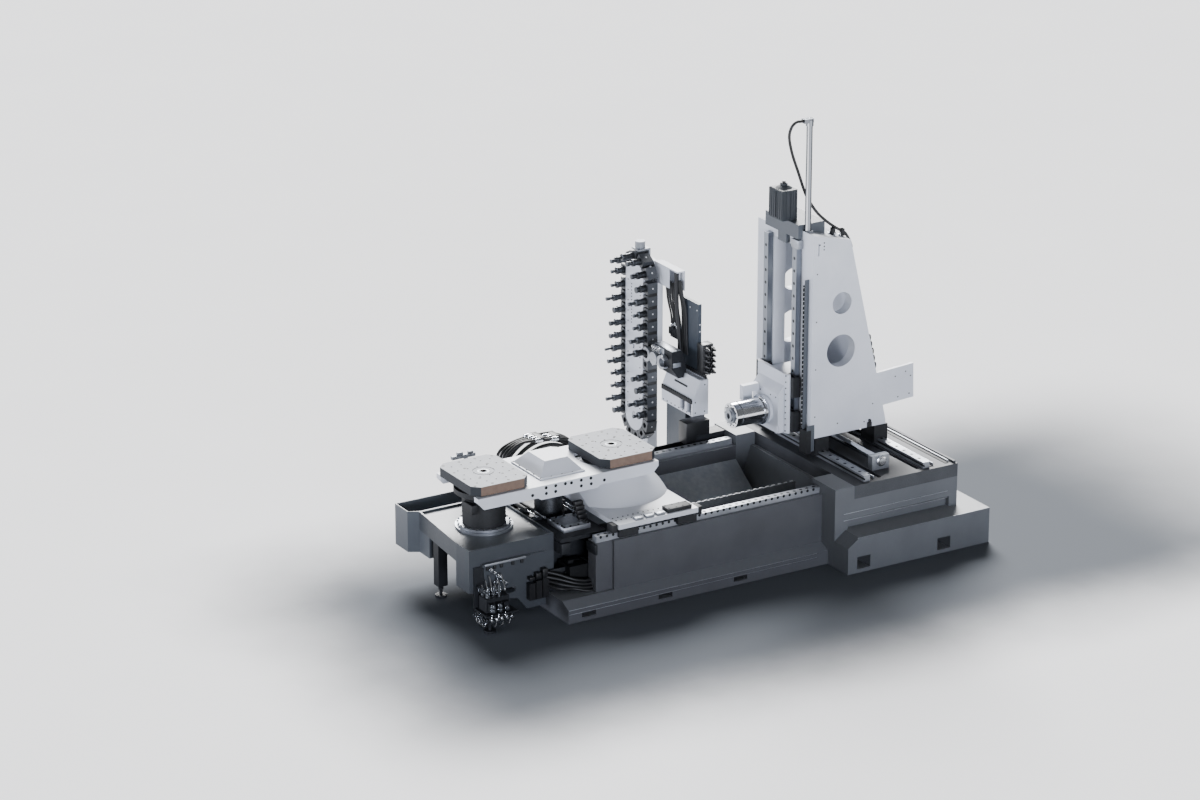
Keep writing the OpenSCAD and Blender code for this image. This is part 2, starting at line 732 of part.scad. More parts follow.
// Changer arm with an open fork round each table
module changer_arm() {
    half = arm_w / 2;
    end = arm_l / 2;
    reach = fork_gap / 2;
    deep = end - 555;
    color("#d9dce2") difference() {
        union() {
            span([-half, changer_y - end, arm_top - arm_t], [half, changer_y + end, arm_top]);
            slab(-half, half, [[changer_y - deep - 120, arm_top - arm_t], [changer_y - deep, arm_base],
                [changer_y + deep, arm_base], [changer_y + deep + 120, arm_top - arm_t]]);
            for (side = [-1, 1])
                slab(side > 0 ? half - skirt_t : -half, side > 0 ? half : skirt_t - half,
                    [[changer_y - end + 50, arm_top - skirt_h], [changer_y + end - 50, arm_top - skirt_h],
                    [changer_y + end, arm_top - arm_t], [changer_y + end, arm_top - 5],
                    [changer_y - end, arm_top - 5], [changer_y - end, arm_top - arm_t]]);
        }
        for (side = [-1, 1]) translate([0, changer_y + side * (pallet_reach - 38), 0]) {
            translate([0, 0, arm_base - eps]) cylinder(r = reach, h = arm_top - arm_base + 2 * eps);
            span([-reach, side > 0 ? 0 : -end, arm_base - eps], [reach, side > 0 ? end : 0, arm_top + eps]);
        }
        span([-half + skirt_t, changer_y - deep + 20, arm_base - eps],
            [half - skirt_t, changer_y - lift_d / 2 - 20, arm_top - arm_t]);
        span([-half + skirt_t, changer_y + lift_d / 2 + 20, arm_base - eps],
            [half - skirt_t, changer_y + deep - 20, arm_top - arm_t]);
    }
}

// Raised cover over the changer's turning gear
cover_w = 450;
cover_l = 404;
cover_h = 108;
cover_slope = 100;
module arm_cover() {
    color("#e6e9ee") translate([0, changer_y, arm_top]) {
        linear_extrude(12) square([cover_w, cover_l], center = true);
        intersection() {
            bar(-cover_l, cover_l, [[12 - cover_w / 2, 12 - eps], [cover_w / 2 - 12, 12 - eps],
                [cover_w / 2 - cover_slope, cover_h], [cover_slope - cover_w / 2, cover_h]]);
            slab(-cover_w, cover_w, [[12 - cover_l / 2, 12 - eps], [cover_l / 2 - 12, 12 - eps],
                [cover_l / 2 - cover_slope, cover_h], [cover_slope - cover_l / 2, cover_h]]);
        }
    }
}

// Travelling column: two side plates, front posts, top, foot and sloping rear wall
column_drop = 88;
column_heel = 35;
slope_y = column_l - column_top_l;
slope_z = column_h - column_drop - column_heel;
function rear_at(z) = column_y + column_l - (z - column_z - column_heel) * slope_y / slope_z;
function roof_at(y) = column_top - (y - column_y) * column_drop / column_top_l;
window_low = column_z + 70;
window_top = column_top - 150;
window_x = post_x;
big_hole_at = [column_y + 280, column_z + 705];
small_hole_at = [column_y + 282, column_z + 1105];
lift_screw_y = column_y + 150;
web_t = 45;
module column() {
    half = column_w / 2;
    low = column_z + 55;
    step_h = 60;
    roof_end = column_y + column_top_l + 80;
    color("#dfe3ea") translate([column_x, 0, 0]) difference() {
        slab(-half, half, [[column_y, column_z], [column_y, column_top],
            [column_y + column_top_l, column_top - column_drop],
            [column_y + column_l, column_z + column_heel], [column_y + column_l, column_z]]);
        slab(side_t - half, half - side_t, [[column_y + post_l, low],
            [column_y + post_l, window_top], [rear_at(window_top - 40) - web_t, window_top - 40],
            [rear_at(low) - web_t, low]]);
        span([-window_x, column_y - eps, window_low], [window_x, column_y + post_l + eps, window_top]);
        rod_x(big_hole_at[0], big_hole_at[1], -half - eps, half + eps, big_hole_d);
        rod_x(small_hole_at[0], small_hole_at[1], -half - eps, half + eps, small_hole_d);
        translate([0, lift_screw_y, window_top - 45]) cylinder(d = screw_d + 2 * fit, h = 240);
        span([-window_x, column_y + 230, low - eps - 60], [window_x, column_y + 470, low + eps]);
        span([half - 20, column_y + 46, column_top - 175], [half + eps, column_y + 56, column_top - 75]);
        slab(-half - eps, belt_x[0] - column_x, [[column_y - eps, roof_at(column_y) - step_h],
            [roof_end, roof_at(roof_end) - step_h], [roof_end, column_top + eps],
            [column_y - eps, column_top + eps]]);
    }
}

// Bracket plate behind the column for its cable carrier
paint_t = 0.1;
module tail_bracket() {
    low = column_z + 160;
    high = column_z + 447;
    outer = column_x + column_w / 2;
    color("#d7dbe2") {
        translate([0, paint_t, 0]) slab(outer - 30, outer - 6, [[rear_at(high), high],
            [column_y + 996, high + 22], [column_y + 1005, low + 18], [rear_at(low), low]]);
        translate([0, paint_t, 0]) slab(outer - 110, outer - 30 + eps, [[rear_at(high - 60), high - 60],
            [rear_at(high - 60) + 20, high - 60], [rear_at(low + 60) + 20, low + 60], [rear_at(low + 60), low + 60]]);
    }
}

// Four carriages under the column and the nut block of its drive screw
module x_carriages() {
    reach = column_w / 2 - side_t;
    nut_y = [x_screw_y - 60, x_screw_y + 60];
    color("#232426") {
        for (side = [-1, 1], y = x_rail_y)
            translate([column_x + side * reach, y, cross_h]) carriage(190, column_z - cross_h);
        span([column_x + 310, column_y - 44, cross_h + 50], [column_x + 412, column_y, column_z + 80]);
        difference() {
            span([column_x - 70, nut_y[0], cross_h + 16], [column_x + 70, nut_y[1], column_z]);
            rod_x(x_screw_y, x_screw_z, column_x - 71, column_x + 71, screw_d + 2 * fit);
        }
    }
}

// Vertical rails on the column's front posts
rail_foot = column_z + 15;
rail_head = column_top - 125;
module y_rails() {
    color("#cfd3d8") for (side = [-1, 1])
        span([column_x + side * head_gauge / 2 - rail_w / 2, rail_y, rail_foot],
            [column_x + side * head_gauge / 2 + rail_w / 2, column_y, rail_head]);
}

// Vertical ball screw of the head
module y_ballscrew() {
    color("#c9ccd0") translate([column_x, lift_screw_y, window_low + 20])
        cylinder(d = screw_d, h = belt_top - window_low - 35);
}

// Belt housing on top of the column
belt_x = [column_x - 235, column_x + 240];
belt_front = column_y - 40;
belt_low = column_top - 66;
belt_top = column_top + 50;
module y_drive_housing() {
    back = lift_screw_y + 60;
    color("#9ba1a8") difference() {
        union() {
            slab(belt_x[0], belt_x[1], [[belt_front, belt_low], [column_y, belt_low], [column_y, column_top],
                [back, roof_at(back)], [back, belt_top], [belt_front, belt_top]]);
            span([column_x - 60, belt_front + 6, belt_low - 80], [column_x + 60, column_y, belt_low + eps]);
        }
        translate([column_x, lift_screw_y, column_top - 90]) cylinder(d = screw_d + 2 * fit, h = 126);
    }
}

// Motor of the vertical drive
module y_motor() {
    w = [92, 70];
    h = 247;
    centre = column_y - 25;
    color("#4d5257") difference() {
        union() {
            span([column_x - w[0], centre - w[1], belt_top], [column_x + w[0], centre + w[1], belt_top + h]);
            translate([column_x, centre, belt_top + h - eps]) cylinder(d1 = 2 * w[1], d2 = w[1], h = 22);
            span([column_x - 22, centre - 22, belt_top + h], [column_x + 22, centre + 22, belt_top + h + 40]);
            span([column_x - w[0] - 16, centre - 30, belt_top + 90], [column_x - w[0] + eps, centre + 30, belt_top + 150]);
        }
        span([column_x - 14, centre - w[1] - eps, belt_top + 14], [column_x + 14, centre - w[1] + 8, belt_top + h - 14]);
        span([column_x + w[0] - 8, centre - 12, belt_top + 14], [column_x + w[0] + eps, centre + 12, belt_top + h - 14]);
    }
}

// Counterbalance cylinder: foot, barrel and top block
mast_low = column_top + 10;
mast_top = mast_low + mast_h;
module counterbalance() {
    x = column_x + mast_x;
    block = 30;
    color("#d8dbdf") {
        translate([0, 0, paint_t]) slab(x - block, x + block, [[mast_y - 26, roof_at(mast_y - 26)],
            [mast_y + block, roof_at(mast_y + block)], [mast_y + block, mast_low], [mast_y - 26, mast_low]]);
        translate([x, mast_y, mast_low - eps]) cylinder(d = mast_d, h = mast_h - 60 + eps);
        translate([x, mast_y, mast_top - 60 - eps]) cylinder(d = mast_d + 12, h = 50);
        difference() {
            span([x - 24, mast_y - 62, mast_top - 34], [x + 24, mast_y + 24, mast_top]);
            rod_y(x, mast_top - 15, mast_y - 63, mast_y - 40, hose_d - 6);
        }
    }
}

// Hydraulic hose from the top block, down behind the barrel and over the column's roof
hose_x = column_x + mast_x;
hose_points = smooth([
    [hose_x, mast_y - 62.2, mast_top - 15], [hose_x, mast_y - 90, mast_top - 15], [hose_x, mast_y - 125, mast_top - 16],
    [hose_x - 4, mast_y - 165, mast_top - 50], [hose_x - 12, mast_y - 182, mast_top - 130],
    [hose_x - 25, mast_y - 145, mast_top - 270], [hose_x - 38, mast_y - 75, mast_top - 440],
    [hose_x - 52, mast_y + 10, mast_top - 640], [hose_x - 30, mast_y + 90, mast_top - 780],
    [hose_x - 5, mast_y + 170, mast_top - 868], [hose_x + 5, mast_y + 270, mast_top - 945],
    [hose_x + 5, mast_y + 355, roof_at(mast_y + 355) + 24],
    [hose_x + 5, rear_at(column_top - 190) + 62, column_top - 190],
    [hose_x + 5, rear_at(column_top - 260) + 18, column_top - 260]], 3);
module hose() {
    color("#151617") tube(hose_points, hose_d, 12);
}

// Headstock: guide plate, tapered front box and the body inside the column
head_low = spindle_z - 160;
ram_back = lift_screw_y + 90;
housing_root_d = housing_d + 20;
module headstock() {
    half = head_w / 2 + 30;
    inner = head_gauge / 2 - carriage_w / 2 - 5;
    box_top = spindle_z + 240;
    color("#d9dde4") difference() {
        union() {
            translate([column_x, 0, head_low]) linear_extrude(head_h) polygon([[-half, head_y],
                [-half, head_y - 12], [30 - half, head_y - 30], [half - 30, head_y - 30],
                [half, head_y - 12], [half, head_y]]);
            slab(column_x + 15 - head_w / 2, column_x + head_w / 2 - 15, [[head_y - 30 + eps, head_low],
                [head_front, head_low], [head_front, box_top - 70], [head_y - 30 + eps, box_top]]);
            span([column_x - inner, head_y - eps, head_low + 60], [column_x + inner, ram_back, head_low + head_h - 40]);
            rod_y(column_x, spindle_z, head_front - 30, head_front + eps, housing_root_d);
        }
        rod_y(column_x, spindle_z, head_front - 31, lift_screw_y - 60, housing_d - 40 + 2 * fit);
        translate([column_x, lift_screw_y, head_low]) cylinder(d = screw_d + 2 * fit, h = head_h);
        for (side = [-1, 1]) span([column_x + side * (half + 1), head_front - eps, head_low - eps],
            [column_x + side * (half - 60), head_front + 12, head_low + 60]);
    }
    color("#d9dde4")
        span([column_x - 150, head_front - 70, spindle_z + 125], [column_x - 100, head_front + eps, spindle_z + 185]);
    color("#d9dde4")
        span([column_x - 150, head_front - 150, spindle_z + 60], [column_x - 100, head_front - 60, spindle_z + 185]);
}

// Carriages of the head on the vertical rails
module head_carriages() {
    color("#2b2d30") for (side = [-1, 1], z = [head_low + 105, head_low + head_h - 105])
        translate([column_x + side * head_gauge / 2, column_y, z]) rotate([90, 0, 0]) rotate([0, 0, 90])
            carriage(170, column_y - head_y);
}

// Spindle cartridge, bolted to the headstock
bearing_d = 130;
module spindle_housing() {
    color("#b9bdc2") difference() {
        union() {
            rod_y(column_x, spindle_z, nose_y, head_front - 30, housing_d);
            rod_y(column_x, spindle_z, head_front - 30 - eps, lift_screw_y - 62, housing_d - 40);
        }
        rod_y(column_x, spindle_z, nose_y - eps, lift_screw_y - 72, bearing_d + 2 * fit);
        rod_y(column_x, spindle_z, nose_y - eps, nose_y + 8, bearing_d + 22);
        difference() {
            rod_y(column_x, spindle_z, nose_y + 50, nose_y + 62, housing_d + 2);
            rod_y(column_x, spindle_z, nose_y + 49, nose_y + 63, housing_d - 14);
        }
    }
}

// Rotating spindle with its tool socket
module spindle() {
    color("#8f9398") difference() {
        union() {
            rod_y(column_x, spindle_z, nose_y - 12, lift_screw_y - 76, bearing_d);
            rod_y(column_x, spindle_z, nose_y - 24, nose_y - 12 + eps, 96);
        }
        rod_y(column_x, spindle_z, nose_y - 25, nose_y + 110, socket_d);
    }
}

// Chain of pots round the two wheels
pot_front = nose_y;
pot_back = pot_front + pot_l;
tool_d = 44;
link_t = 8;
module obround(r) {
    for (z = [magazine_z, high_z]) translate([0, z]) circle(r, $fn = 96);
    translate([-r, magazine_z]) square([2 * r, run_l]);
}
module lay(y, t) {
    translate([-magazine_x, y + t, 0]) rotate([90, 0, 0]) linear_extrude(t) children();
}
module pot_outline() {
    inner = pot_w / 2 - 11;
    polygon([[-pot_t / 2, -inner], [-4, -pot_w / 2], [pot_t / 2, -pot_w / 2],
        [pot_t / 2, pot_w / 2], [-4, pot_w / 2], [-pot_t / 2, inner]]);
}
module chain_pots() {
    color("#3d4044") {
        difference() {
            union() {
                for (at = pots_at)
                    translate([at[0] - magazine_x, pot_back, at[1]]) rotate([0, -at[2], 0])
                        rotate([90, 0, 0]) linear_extrude(pot_l) pot_outline();
                lay(pot_back - eps, link_t + eps) difference() {
                    obround(pot_r + 24);
                    obround(pot_r - 24);
                }
            }
            for (at = pots_at)
                rod_y(at[0] - magazine_x, at[1], pot_front - eps, pot_back - 12, tool_d + 2 * fit);
        }
    }
}

// Tools held in the pots of the chain
tool_kinds = [[118, 20], [150, 26], [176, 16], [132, 30], [95, 40], [165, 22]];
module tools() {
    color("#4a4c4f") for (i = [0 : len(pots_at) - 6]) {
        kind = tool_kinds[(i * 5 + floor(i / 4)) % len(tool_kinds)];
        x = pots_at[i][0] - magazine_x;
        z = pots_at[i][1];
        if (i != 4) {
            rod_y(x, z, pot_front - eps, pot_back - 14, tool_d);
            rod_y(x, z, pot_front - 22, pot_front - 0.1, 66);
            rod_y(x, z, pot_front - 0.6 * kind[0], pot_front - 22 + eps, 46);
            rod_y(x, z, pot_front - kind[0], pot_front - 0.6 * kind[0] + eps, kind[1]);
        }
    }
}

// Front plate of the magazine with the guide bars behind it
bar_x = pot_r - pot_t / 2;
module magazine_plate() {
    color("#e1e4e9") {
        difference() {
            lay(pot_front, face_t) obround(bar_x - 1);
            for (z = [magazine_z, high_z])
                rod_y(-magazine_x, z, pot_front - eps, pot_front + face_t + eps, shaft_d + 2 * fit);
            span([-magazine_x - 20, pot_front - eps, changer_z - 40],
                [-magazine_x + 5, pot_front + face_t + eps, changer_z]);
        }
        for (side = [-1, 1])
            span([-magazine_x + side * (bar_x - 40), pot_front + face_t - eps, magazine_z + 165],
                [-magazine_x + side * bar_x, stand_y, high_z - 165]);
        span([-magazine_x - 60, pot_front + face_t - eps, magazine_z + 180],
            [-magazine_x + 60, stand_y, high_z - 180]);
    }
}

// Chain wheels with their shafts
wheel_d = 2 * (bar_x - gap);
shaft_d = 60;
module wheel(z) {
    rod_y(-magazine_x, z, pot_front + face_t + 6, pot_back - 6, wheel_d);
    rod_y(-magazine_x, z, pot_front + 2, stand_y + 20, shaft_d);
}
module magazine_wheel_top() { color("#5b5f64") wheel(high_z); }
module magazine_wheel_low() { color("#5b5f64") wheel(magazine_z); }

// Stand that carries the magazine from the floor
stand_y = pot_back + 10;
module magazine_stand() {
    x = -magazine_x;
    color("#b3b8bf") difference() {
        union() {
            span([x - 105, stand_y, 0], [x + 45, stand_y + 95, high_z + 120]);
            span([x - 175, stand_y, 0], [x + 95, stand_y + 130, 40]);
            span([x + 45 - eps, stand_y, magazine_z + 480], [x + 125, stand_y + 95, high_z + 20]);
        }
        for (z = [magazine_z, high_z])
            rod_y(x, z, stand_y - eps, stand_y + 26, shaft_d + 2 * fit);
    }
}

// Cover over the top of the chain and the motor of the chain behind it
module magazine_cover() {
    x = -magazine_x;
    low = high_z + pot_r + pot_t / 2 + 10;
    color("#c2c6cb") {
        span([x - 60, pot_front + 10, low], [x + 45, stand_y + 10, low + 14]);
        span([x - 60, stand_y + 10 - eps, high_z + 120], [x + 45, stand_y + 24, low + 14]);
        translate([x - 8, pot_front + 60, low + 14 - eps]) cylinder(d = 84, h = 60);
    }
}
module magazine_motor() {
    color("#1f2022") {
        rod_y(-magazine_x - 50, high_z - 20, stand_y + 95, stand_y + 170, 100);
        span([-magazine_x - 100, stand_y + 95, high_z - 75], [-magazine_x, stand_y + 125, high_z + 35]);
    }
}

// Guide of the tool carriage beside the magazine, on its post
guide_x = [-guide_far, guide_l - guide_far];
guide_y = pot_front + 50;
guide_z = [760, 890, 1060];
module guide_base() {
    color("#c9cdd3") difference() {
        slab(guide_x[0], guide_x[1], [[guide_y, guide_z[0]], [guide_y, guide_z[1]], [guide_y + 72, guide_z[2]],
            [guide_y + guide_d, guide_z[2]], [guide_y + guide_d, guide_z[0]]]);
        for (x = [guide_x[1] - 90, guide_x[1] - 190])
            span([x, guide_y - eps, guide_z[0] + 25], [x + 66, guide_y + 40, guide_z[0] + 110]);
        span([guide_x[0] + 40, guide_y + 88, guide_z[2] - 24], [guide_x[1] - 40, guide_y + 132, guide_z[2] + eps]);
    }
}
module guide_post() {
    color("#6b7076") {
        span([guide_x[0], guide_y + guide_d - 100, 0], [guide_x[0] + 290, guide_y + guide_d, guide_z[0]]);
        span([guide_x[0] - 40, guide_y + 20, 0], [guide_x[0] + 330, guide_y + 200, 25]);
        span([guide_x[0] + 290 - eps, guide_y + 90, guide_z[0] - 160], [guide_x[1] - 40, guide_y + 140, guide_z[0]]);
        span([guide_x[0] + 290 - eps, guide_y + 90, 25], [-foot_w / 2, guide_y + 140, foot_h - 20]);
    }
}

// Electrical panel behind the guide
panel_x = -1260;
panel_w = 250;
panel_h = 695;
panel_t = 30;
module switch_panel() {
    color("#454d57") span([panel_x, guide_y + guide_d, guide_z[2] - 100],
        [panel_x + panel_w, guide_y + guide_d + panel_t, guide_z[2] - 100 + panel_h]);
}

// Sheet duct from the magazine stand to the panel, and the cable that drops from it
duct_z = [1715, 1890];
duct_x = [-magazine_x + 125, -1210];
module cable_duct() {
    y = [stand_y + 15, stand_y + 90];
    color("#c5cad2") difference() {
        span([duct_x[0], y[0], duct_z[0]], [duct_x[1], y[1], duct_z[1]]);
        span([duct_x[0] + 225, y[0] - eps, duct_z[0] - eps], [duct_x[1] + eps, y[1] - 4, duct_z[1] - 12]);
        span([duct_x[0] + 8, y[0] + 5, duct_z[0] - eps], [duct_x[0] + 226, y[1] - 5, duct_z[1] - 12]);
    }
}
cable_d = 36;
cable_x = -1275;
cable_points = smooth([
    [cable_x, stand_y + 50, duct_z[1] - 12.2], [cable_x, stand_y + 50, duct_z[0] + 80],
    [cable_x, stand_y + 50, duct_z[0] + 20],
    [cable_x + 14, stand_y + 44, duct_z[0] - 130], [cable_x + 40, stand_y + 46, duct_z[0] - 300],
    [cable_x + 55, stand_y + 55, guide_z[2] + 120], [cable_x + 55, stand_y + 55, guide_z[2] + 60],
    [cable_x + 55, stand_y + 55, guide_z[2] - 23.8]], 2);
module cable_bundle() {
    color("#131415") tube(cable_points, cable_d, 12);
}

// Tool carriage on the guide and its double gripper arm
carriage_x = [-1365, -1085];
pivot = [carriage_x[0] + 65, changer_z];
lip_z = guide_z[2] - 40;
lip_y = guide_y + 72 * (lip_z - guide_z[1]) / (guide_z[2] - guide_z[1]);
module tool_carriage() {
    face = guide_y - 55;
    top = changer_z + 105;
    color("#3a3d41") difference() {
        slab(carriage_x[0], carriage_x[1], [[face, changer_z - 40], [lip_y - 45, lip_z], [lip_y - gap, lip_z],
            [guide_y + 72 - gap, guide_z[2] + gap], [guide_y + 84, guide_z[2] + gap],
            [guide_y + 84, guide_z[2] + 40], [guide_y + 40, top], [face, top]]);
        rod_y(pivot[0], pivot[1], face - eps, guide_y + 10, 60 + 2 * fit);
    }
}
module tool_arm() {
    y = [guide_y - 105, guide_y - 62];
    color("#c4c8cd") translate([pivot[0], 0, pivot[1]]) {
        rod_y(0, 0, y[0], y[1], 110);
        rod_y(0, 0, y[1] - eps, guide_y + 8, 60);
        difference() {
            union() {
                span([-gripper_r + 30, y[0] + 8, -32], [gripper_r - 30, y[1], 32]);
                for (side = [-1, 1]) rod_y(side * (gripper_r - 45), 0, y[0] + 4, y[1], 118);
            }
            for (side = [-1, 1]) {
                rod_y(side * (gripper_r - 38), 0, y[0], y[1] + eps, 72);
                span([side * (gripper_r - 38), y[0], -30], [side * (gripper_r + 30), y[1] + eps, 30]);
            }
        }
    }
}

place() z_bed();
place() x_bed();
place() x_way_plate();
place() trough_liner();
place() screw_cover();
place() z_rails();
place() x_rails();
place() z_motor();
place() x_motor();
place() screw_bearings();
place() cable_channel();
place() changer_base();
place() front_frame();
place() coolant_tub();
place() side_panel();
place() frame_feet();
place() hydraulic_manifold();
place() hydraulic_fittings();
place() terminal_boxes();
place() station_ring();
place() hose_arch();
place() magazine_stand();
place() magazine_plate();
place() chain_pots();
place() tools();
place() magazine_cover();
place() magazine_motor();
place() guide_base();
place() guide_post();
place() switch_panel();
place() spindle_housing();
place() cable_duct();
place() cable_bundle();
place() magazine_wheel_top();
place() magazine_wheel_low();
place() z_ballscrew();
place() x_ballscrew();
place() saddle();
place() z_carriages();
place() rotary_table();
place() pallet_rear();
place() changer_column();
place() changer_arm();
place() arm_cover();
place() station_table();
place() pallet_front();
place() column();
place() tail_bracket();
place() x_carriages();
place() y_rails();
place() y_motor();
place() y_drive_housing();
place() counterbalance();
place() hose();
place() y_ballscrew();
place() headstock();
place() head_carriages();
place() spindle();
place() tool_carriage();
place() tool_arm();
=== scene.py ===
# %% [markdown]
# # Dressing a horizontal machining centre
# The construction model gives every casting, rail and screw at its true size. This lesson loads it as
# a fixed frame and adds what makes steel and paint believable: surface finishes worked out from real
# sizes, and the small parts that a machine fitter would bolt on last.

# %% Load the frame
import math

import bmesh
import bpy
from mathutils import Matrix, Vector


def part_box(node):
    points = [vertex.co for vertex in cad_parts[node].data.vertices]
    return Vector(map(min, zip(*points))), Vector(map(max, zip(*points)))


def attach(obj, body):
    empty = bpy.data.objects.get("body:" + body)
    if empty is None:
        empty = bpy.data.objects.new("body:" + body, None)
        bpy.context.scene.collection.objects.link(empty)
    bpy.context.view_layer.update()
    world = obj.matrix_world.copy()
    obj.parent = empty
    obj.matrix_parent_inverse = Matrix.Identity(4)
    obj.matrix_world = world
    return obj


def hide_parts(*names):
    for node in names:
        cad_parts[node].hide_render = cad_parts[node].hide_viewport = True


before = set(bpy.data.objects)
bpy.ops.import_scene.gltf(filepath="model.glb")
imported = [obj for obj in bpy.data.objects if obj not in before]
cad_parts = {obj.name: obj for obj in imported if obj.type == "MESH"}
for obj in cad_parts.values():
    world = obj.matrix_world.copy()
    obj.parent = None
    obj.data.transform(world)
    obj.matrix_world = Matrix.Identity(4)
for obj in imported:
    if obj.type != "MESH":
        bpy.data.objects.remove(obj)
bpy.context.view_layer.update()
print("nodes in the frame:", len(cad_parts))

# %% [markdown]
# ## Millimetres of the machine
# The drawing measures in millimetres from the middle of the long bed. Blender works in metres from
# the middle of the whole machine. One function takes a drawing point to Blender, so that every number
# below can be read against the drawing. A second one reads the box of a solid back in the drawing.

# %% From the drawing to Blender and back
middle = (-410.671, 1536.5)


def at(x, y, z):
    return Vector(((x - middle[0]) / 1000, (y - middle[1]) / 1000, z / 1000))


def drawing_box(node):
    """The two corners of a node's box, in drawing millimetres."""
    return [[1000 * corner[i] + (*middle, 0)[i] for i in range(3)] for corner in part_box(node)]


print("bed's front edge on the floor:", tuple(round(v, 3) for v in at(0, 0, 0)))

# %% [markdown]
# ## Camera
# The picture was taken from far away with a long lens: parallel edges of the bed hardly come together.
# A camera 34 m away with a 126 mm lens gives the same look. Its direction is written as a turn about
# the vertical and a tilt, which is easier to adjust than a rotation in three parts.

# %% Camera at the picture's place
lens = 126
turn, tilt = math.radians(59.0), math.radians(20.1)
camera = bpy.data.objects.new("camera", bpy.data.cameras.new("camera"))
bpy.context.scene.collection.objects.link(camera)
camera.data.lens = lens
camera.data.sensor_width = 36
camera.data.clip_end = 200
camera.location = at(26296, -15042, 12664)
ahead = Vector((-math.sin(turn) * math.cos(tilt), math.cos(turn) * math.cos(tilt), -math.sin(tilt)))
camera.rotation_euler = ahead.to_track_quat("-Z", "Y").to_euler()
bpy.context.scene.camera = camera
print("camera stands", round(camera.location.length, 2), "m from the machine's middle")

# %% [markdown]
# ## Hoses
# Two flexible lines show from end to end: the hydraulic hose that loops over the counterbalance
# cylinder, and the sleeved cable that drops from the duct. Both are made as one smooth curve with a
# round section, through the same points as in the drawing. A curve keeps an even thickness, which a
# hand-modelled tube does not.

# %% Curves through the drawing's points
def smooth(points, steps):
    """Points of a Catmull-Rom curve through a few given ones."""
    path = []
    for i in range(len(points) - 1):
        a, b = points[max(i - 1, 0)], points[i]
        c, d = points[i + 1], points[min(i + 2, len(points) - 1)]
        for k in range(steps):
            t = k / steps
            path.append([0.5 * (2 * b[n] + (c[n] - a[n]) * t + (2 * a[n] - 5 * b[n] + 4 * c[n] - d[n]) * t * t
                                + (3 * b[n] - a[n] - 3 * c[n] + d[n]) * t ** 3) for n in range(3)])
    return path + [list(points[-1])]


def line(name, points, diameter, sides=5):
    """One open curve of round section through points given in drawing millimetres."""
    curve = bpy.data.curves.new(name, "CURVE")
    curve.dimensions = "3D"
    curve.bevel_depth = diameter / 2000
    curve.bevel_resolution = sides
    curve.use_fill_caps = True
    spline = curve.splines.new("POLY")
    spline.points.add(len(points) - 1)
    for point, place in zip(spline.points, points):
        point.co = (*at(*place), 1)
    piece = bpy.data.objects.new(name, curve)
    bpy.context.scene.collection.objects.link(piece)
    return piece


def length(points):
    return sum(math.dist(a, b) for a, b in zip(points, points[1:])) / 1000


mast_y, mast_top, hose_x = 2626, 3455, 75
hose_path = smooth([
    [hose_x, mast_y - 62.2, mast_top - 15], [hose_x, mast_y - 90, mast_top - 15],
    [hose_x, mast_y - 125, mast_top - 16], [71, 2461, 3405], [63, 2444, 3325],
    [50, 2481, 3185], [37, 2551, 3015], [23, 2636, 2815], [45, 2716, 2675], [70, 2796, 2587],
    [80, 2896, 2510], [80, 2981, 2454.5], [80, 3041.1, 2335], [80, 3013.6, 2265]], 4)
hose = line("hydraulic_hose", hose_path, 24)
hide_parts("hose")
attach(hose, "column_unit")

cable_x, stand_y = -1275, 2205
cable_path = smooth([
    [cable_x, stand_y + 50, 1877.8], [cable_x, stand_y + 50, 1795], [cable_x, stand_y + 50, 1735],
    [cable_x + 14, stand_y + 44, 1585], [cable_x + 40, stand_y + 46, 1415],
    [cable_x + 55, stand_y + 55, 1180], [cable_x + 55, stand_y + 55, 1120],
    [cable_x + 55, stand_y + 55, 1036.2]], 4)
sleeve = line("sleeved_cable", cable_path, 36)
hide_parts("cable_bundle")
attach(sleeve, "machine_bed")
print("hose", round(length(hose_path), 2), "m, sleeved cable", round(length(cable_path), 2), "m")

# %% [markdown]
# ## Colours and nodes
# Paint charts and colour pickers give sRGB values, while the shaders want linear light. One function
# turns a hex value into the linear colour. A second one adds a node, its settings and its links in a
# single line, and three short ones stretch a value, blend two colours and close the material.

# %% Helpers for the finishes
def tone(code):
    parts = [int(code[i:i + 2], 16) / 255 for i in (1, 3, 5)]
    return [p / 12.92 if p <= 0.04045 else ((p + 0.055) / 1.055) ** 2.4 for p in parts] + [1.0]


def add(material, kind, inputs=None, **settings):
    tree = material.node_tree
    node = tree.nodes.new("ShaderNode" + kind)
    for name, value in settings.items():
        setattr(node, name, value)
    for socket, value in (inputs or {}).items():
        if isinstance(value, bpy.types.NodeSocket):
            tree.links.new(value, node.inputs[socket])
        else:
            node.inputs[socket].default_value = value
    return node


def empty_material(name):
    material = bpy.data.materials.new(name)
    material.use_nodes = True
    material.node_tree.nodes.clear()
    return material


def stretch(material, value, start=(0, 1), end=(0, 1), **settings):
    """The value moved from one range to another."""
    return add(material, "MapRange", {"Value": value, "From Min": start[0], "From Max": start[1],
                                      "To Min": end[0], "To Max": end[1]}, **settings).outputs[0]


def blend(material, weight, first, second):
    """Two colours mixed by weight, each given as a hex code or as a socket."""
    first, second = (tone(colour) if isinstance(colour, str) else colour for colour in (first, second))
    return add(material, "Mix", {0: weight, 6: first, 7: second}, data_type="RGBA").outputs[2]


def finished(material, inputs):
    shader = add(material, "BsdfPrincipled", inputs)
    add(material, "OutputMaterial", {"Surface": shader.outputs[0]})
    return material
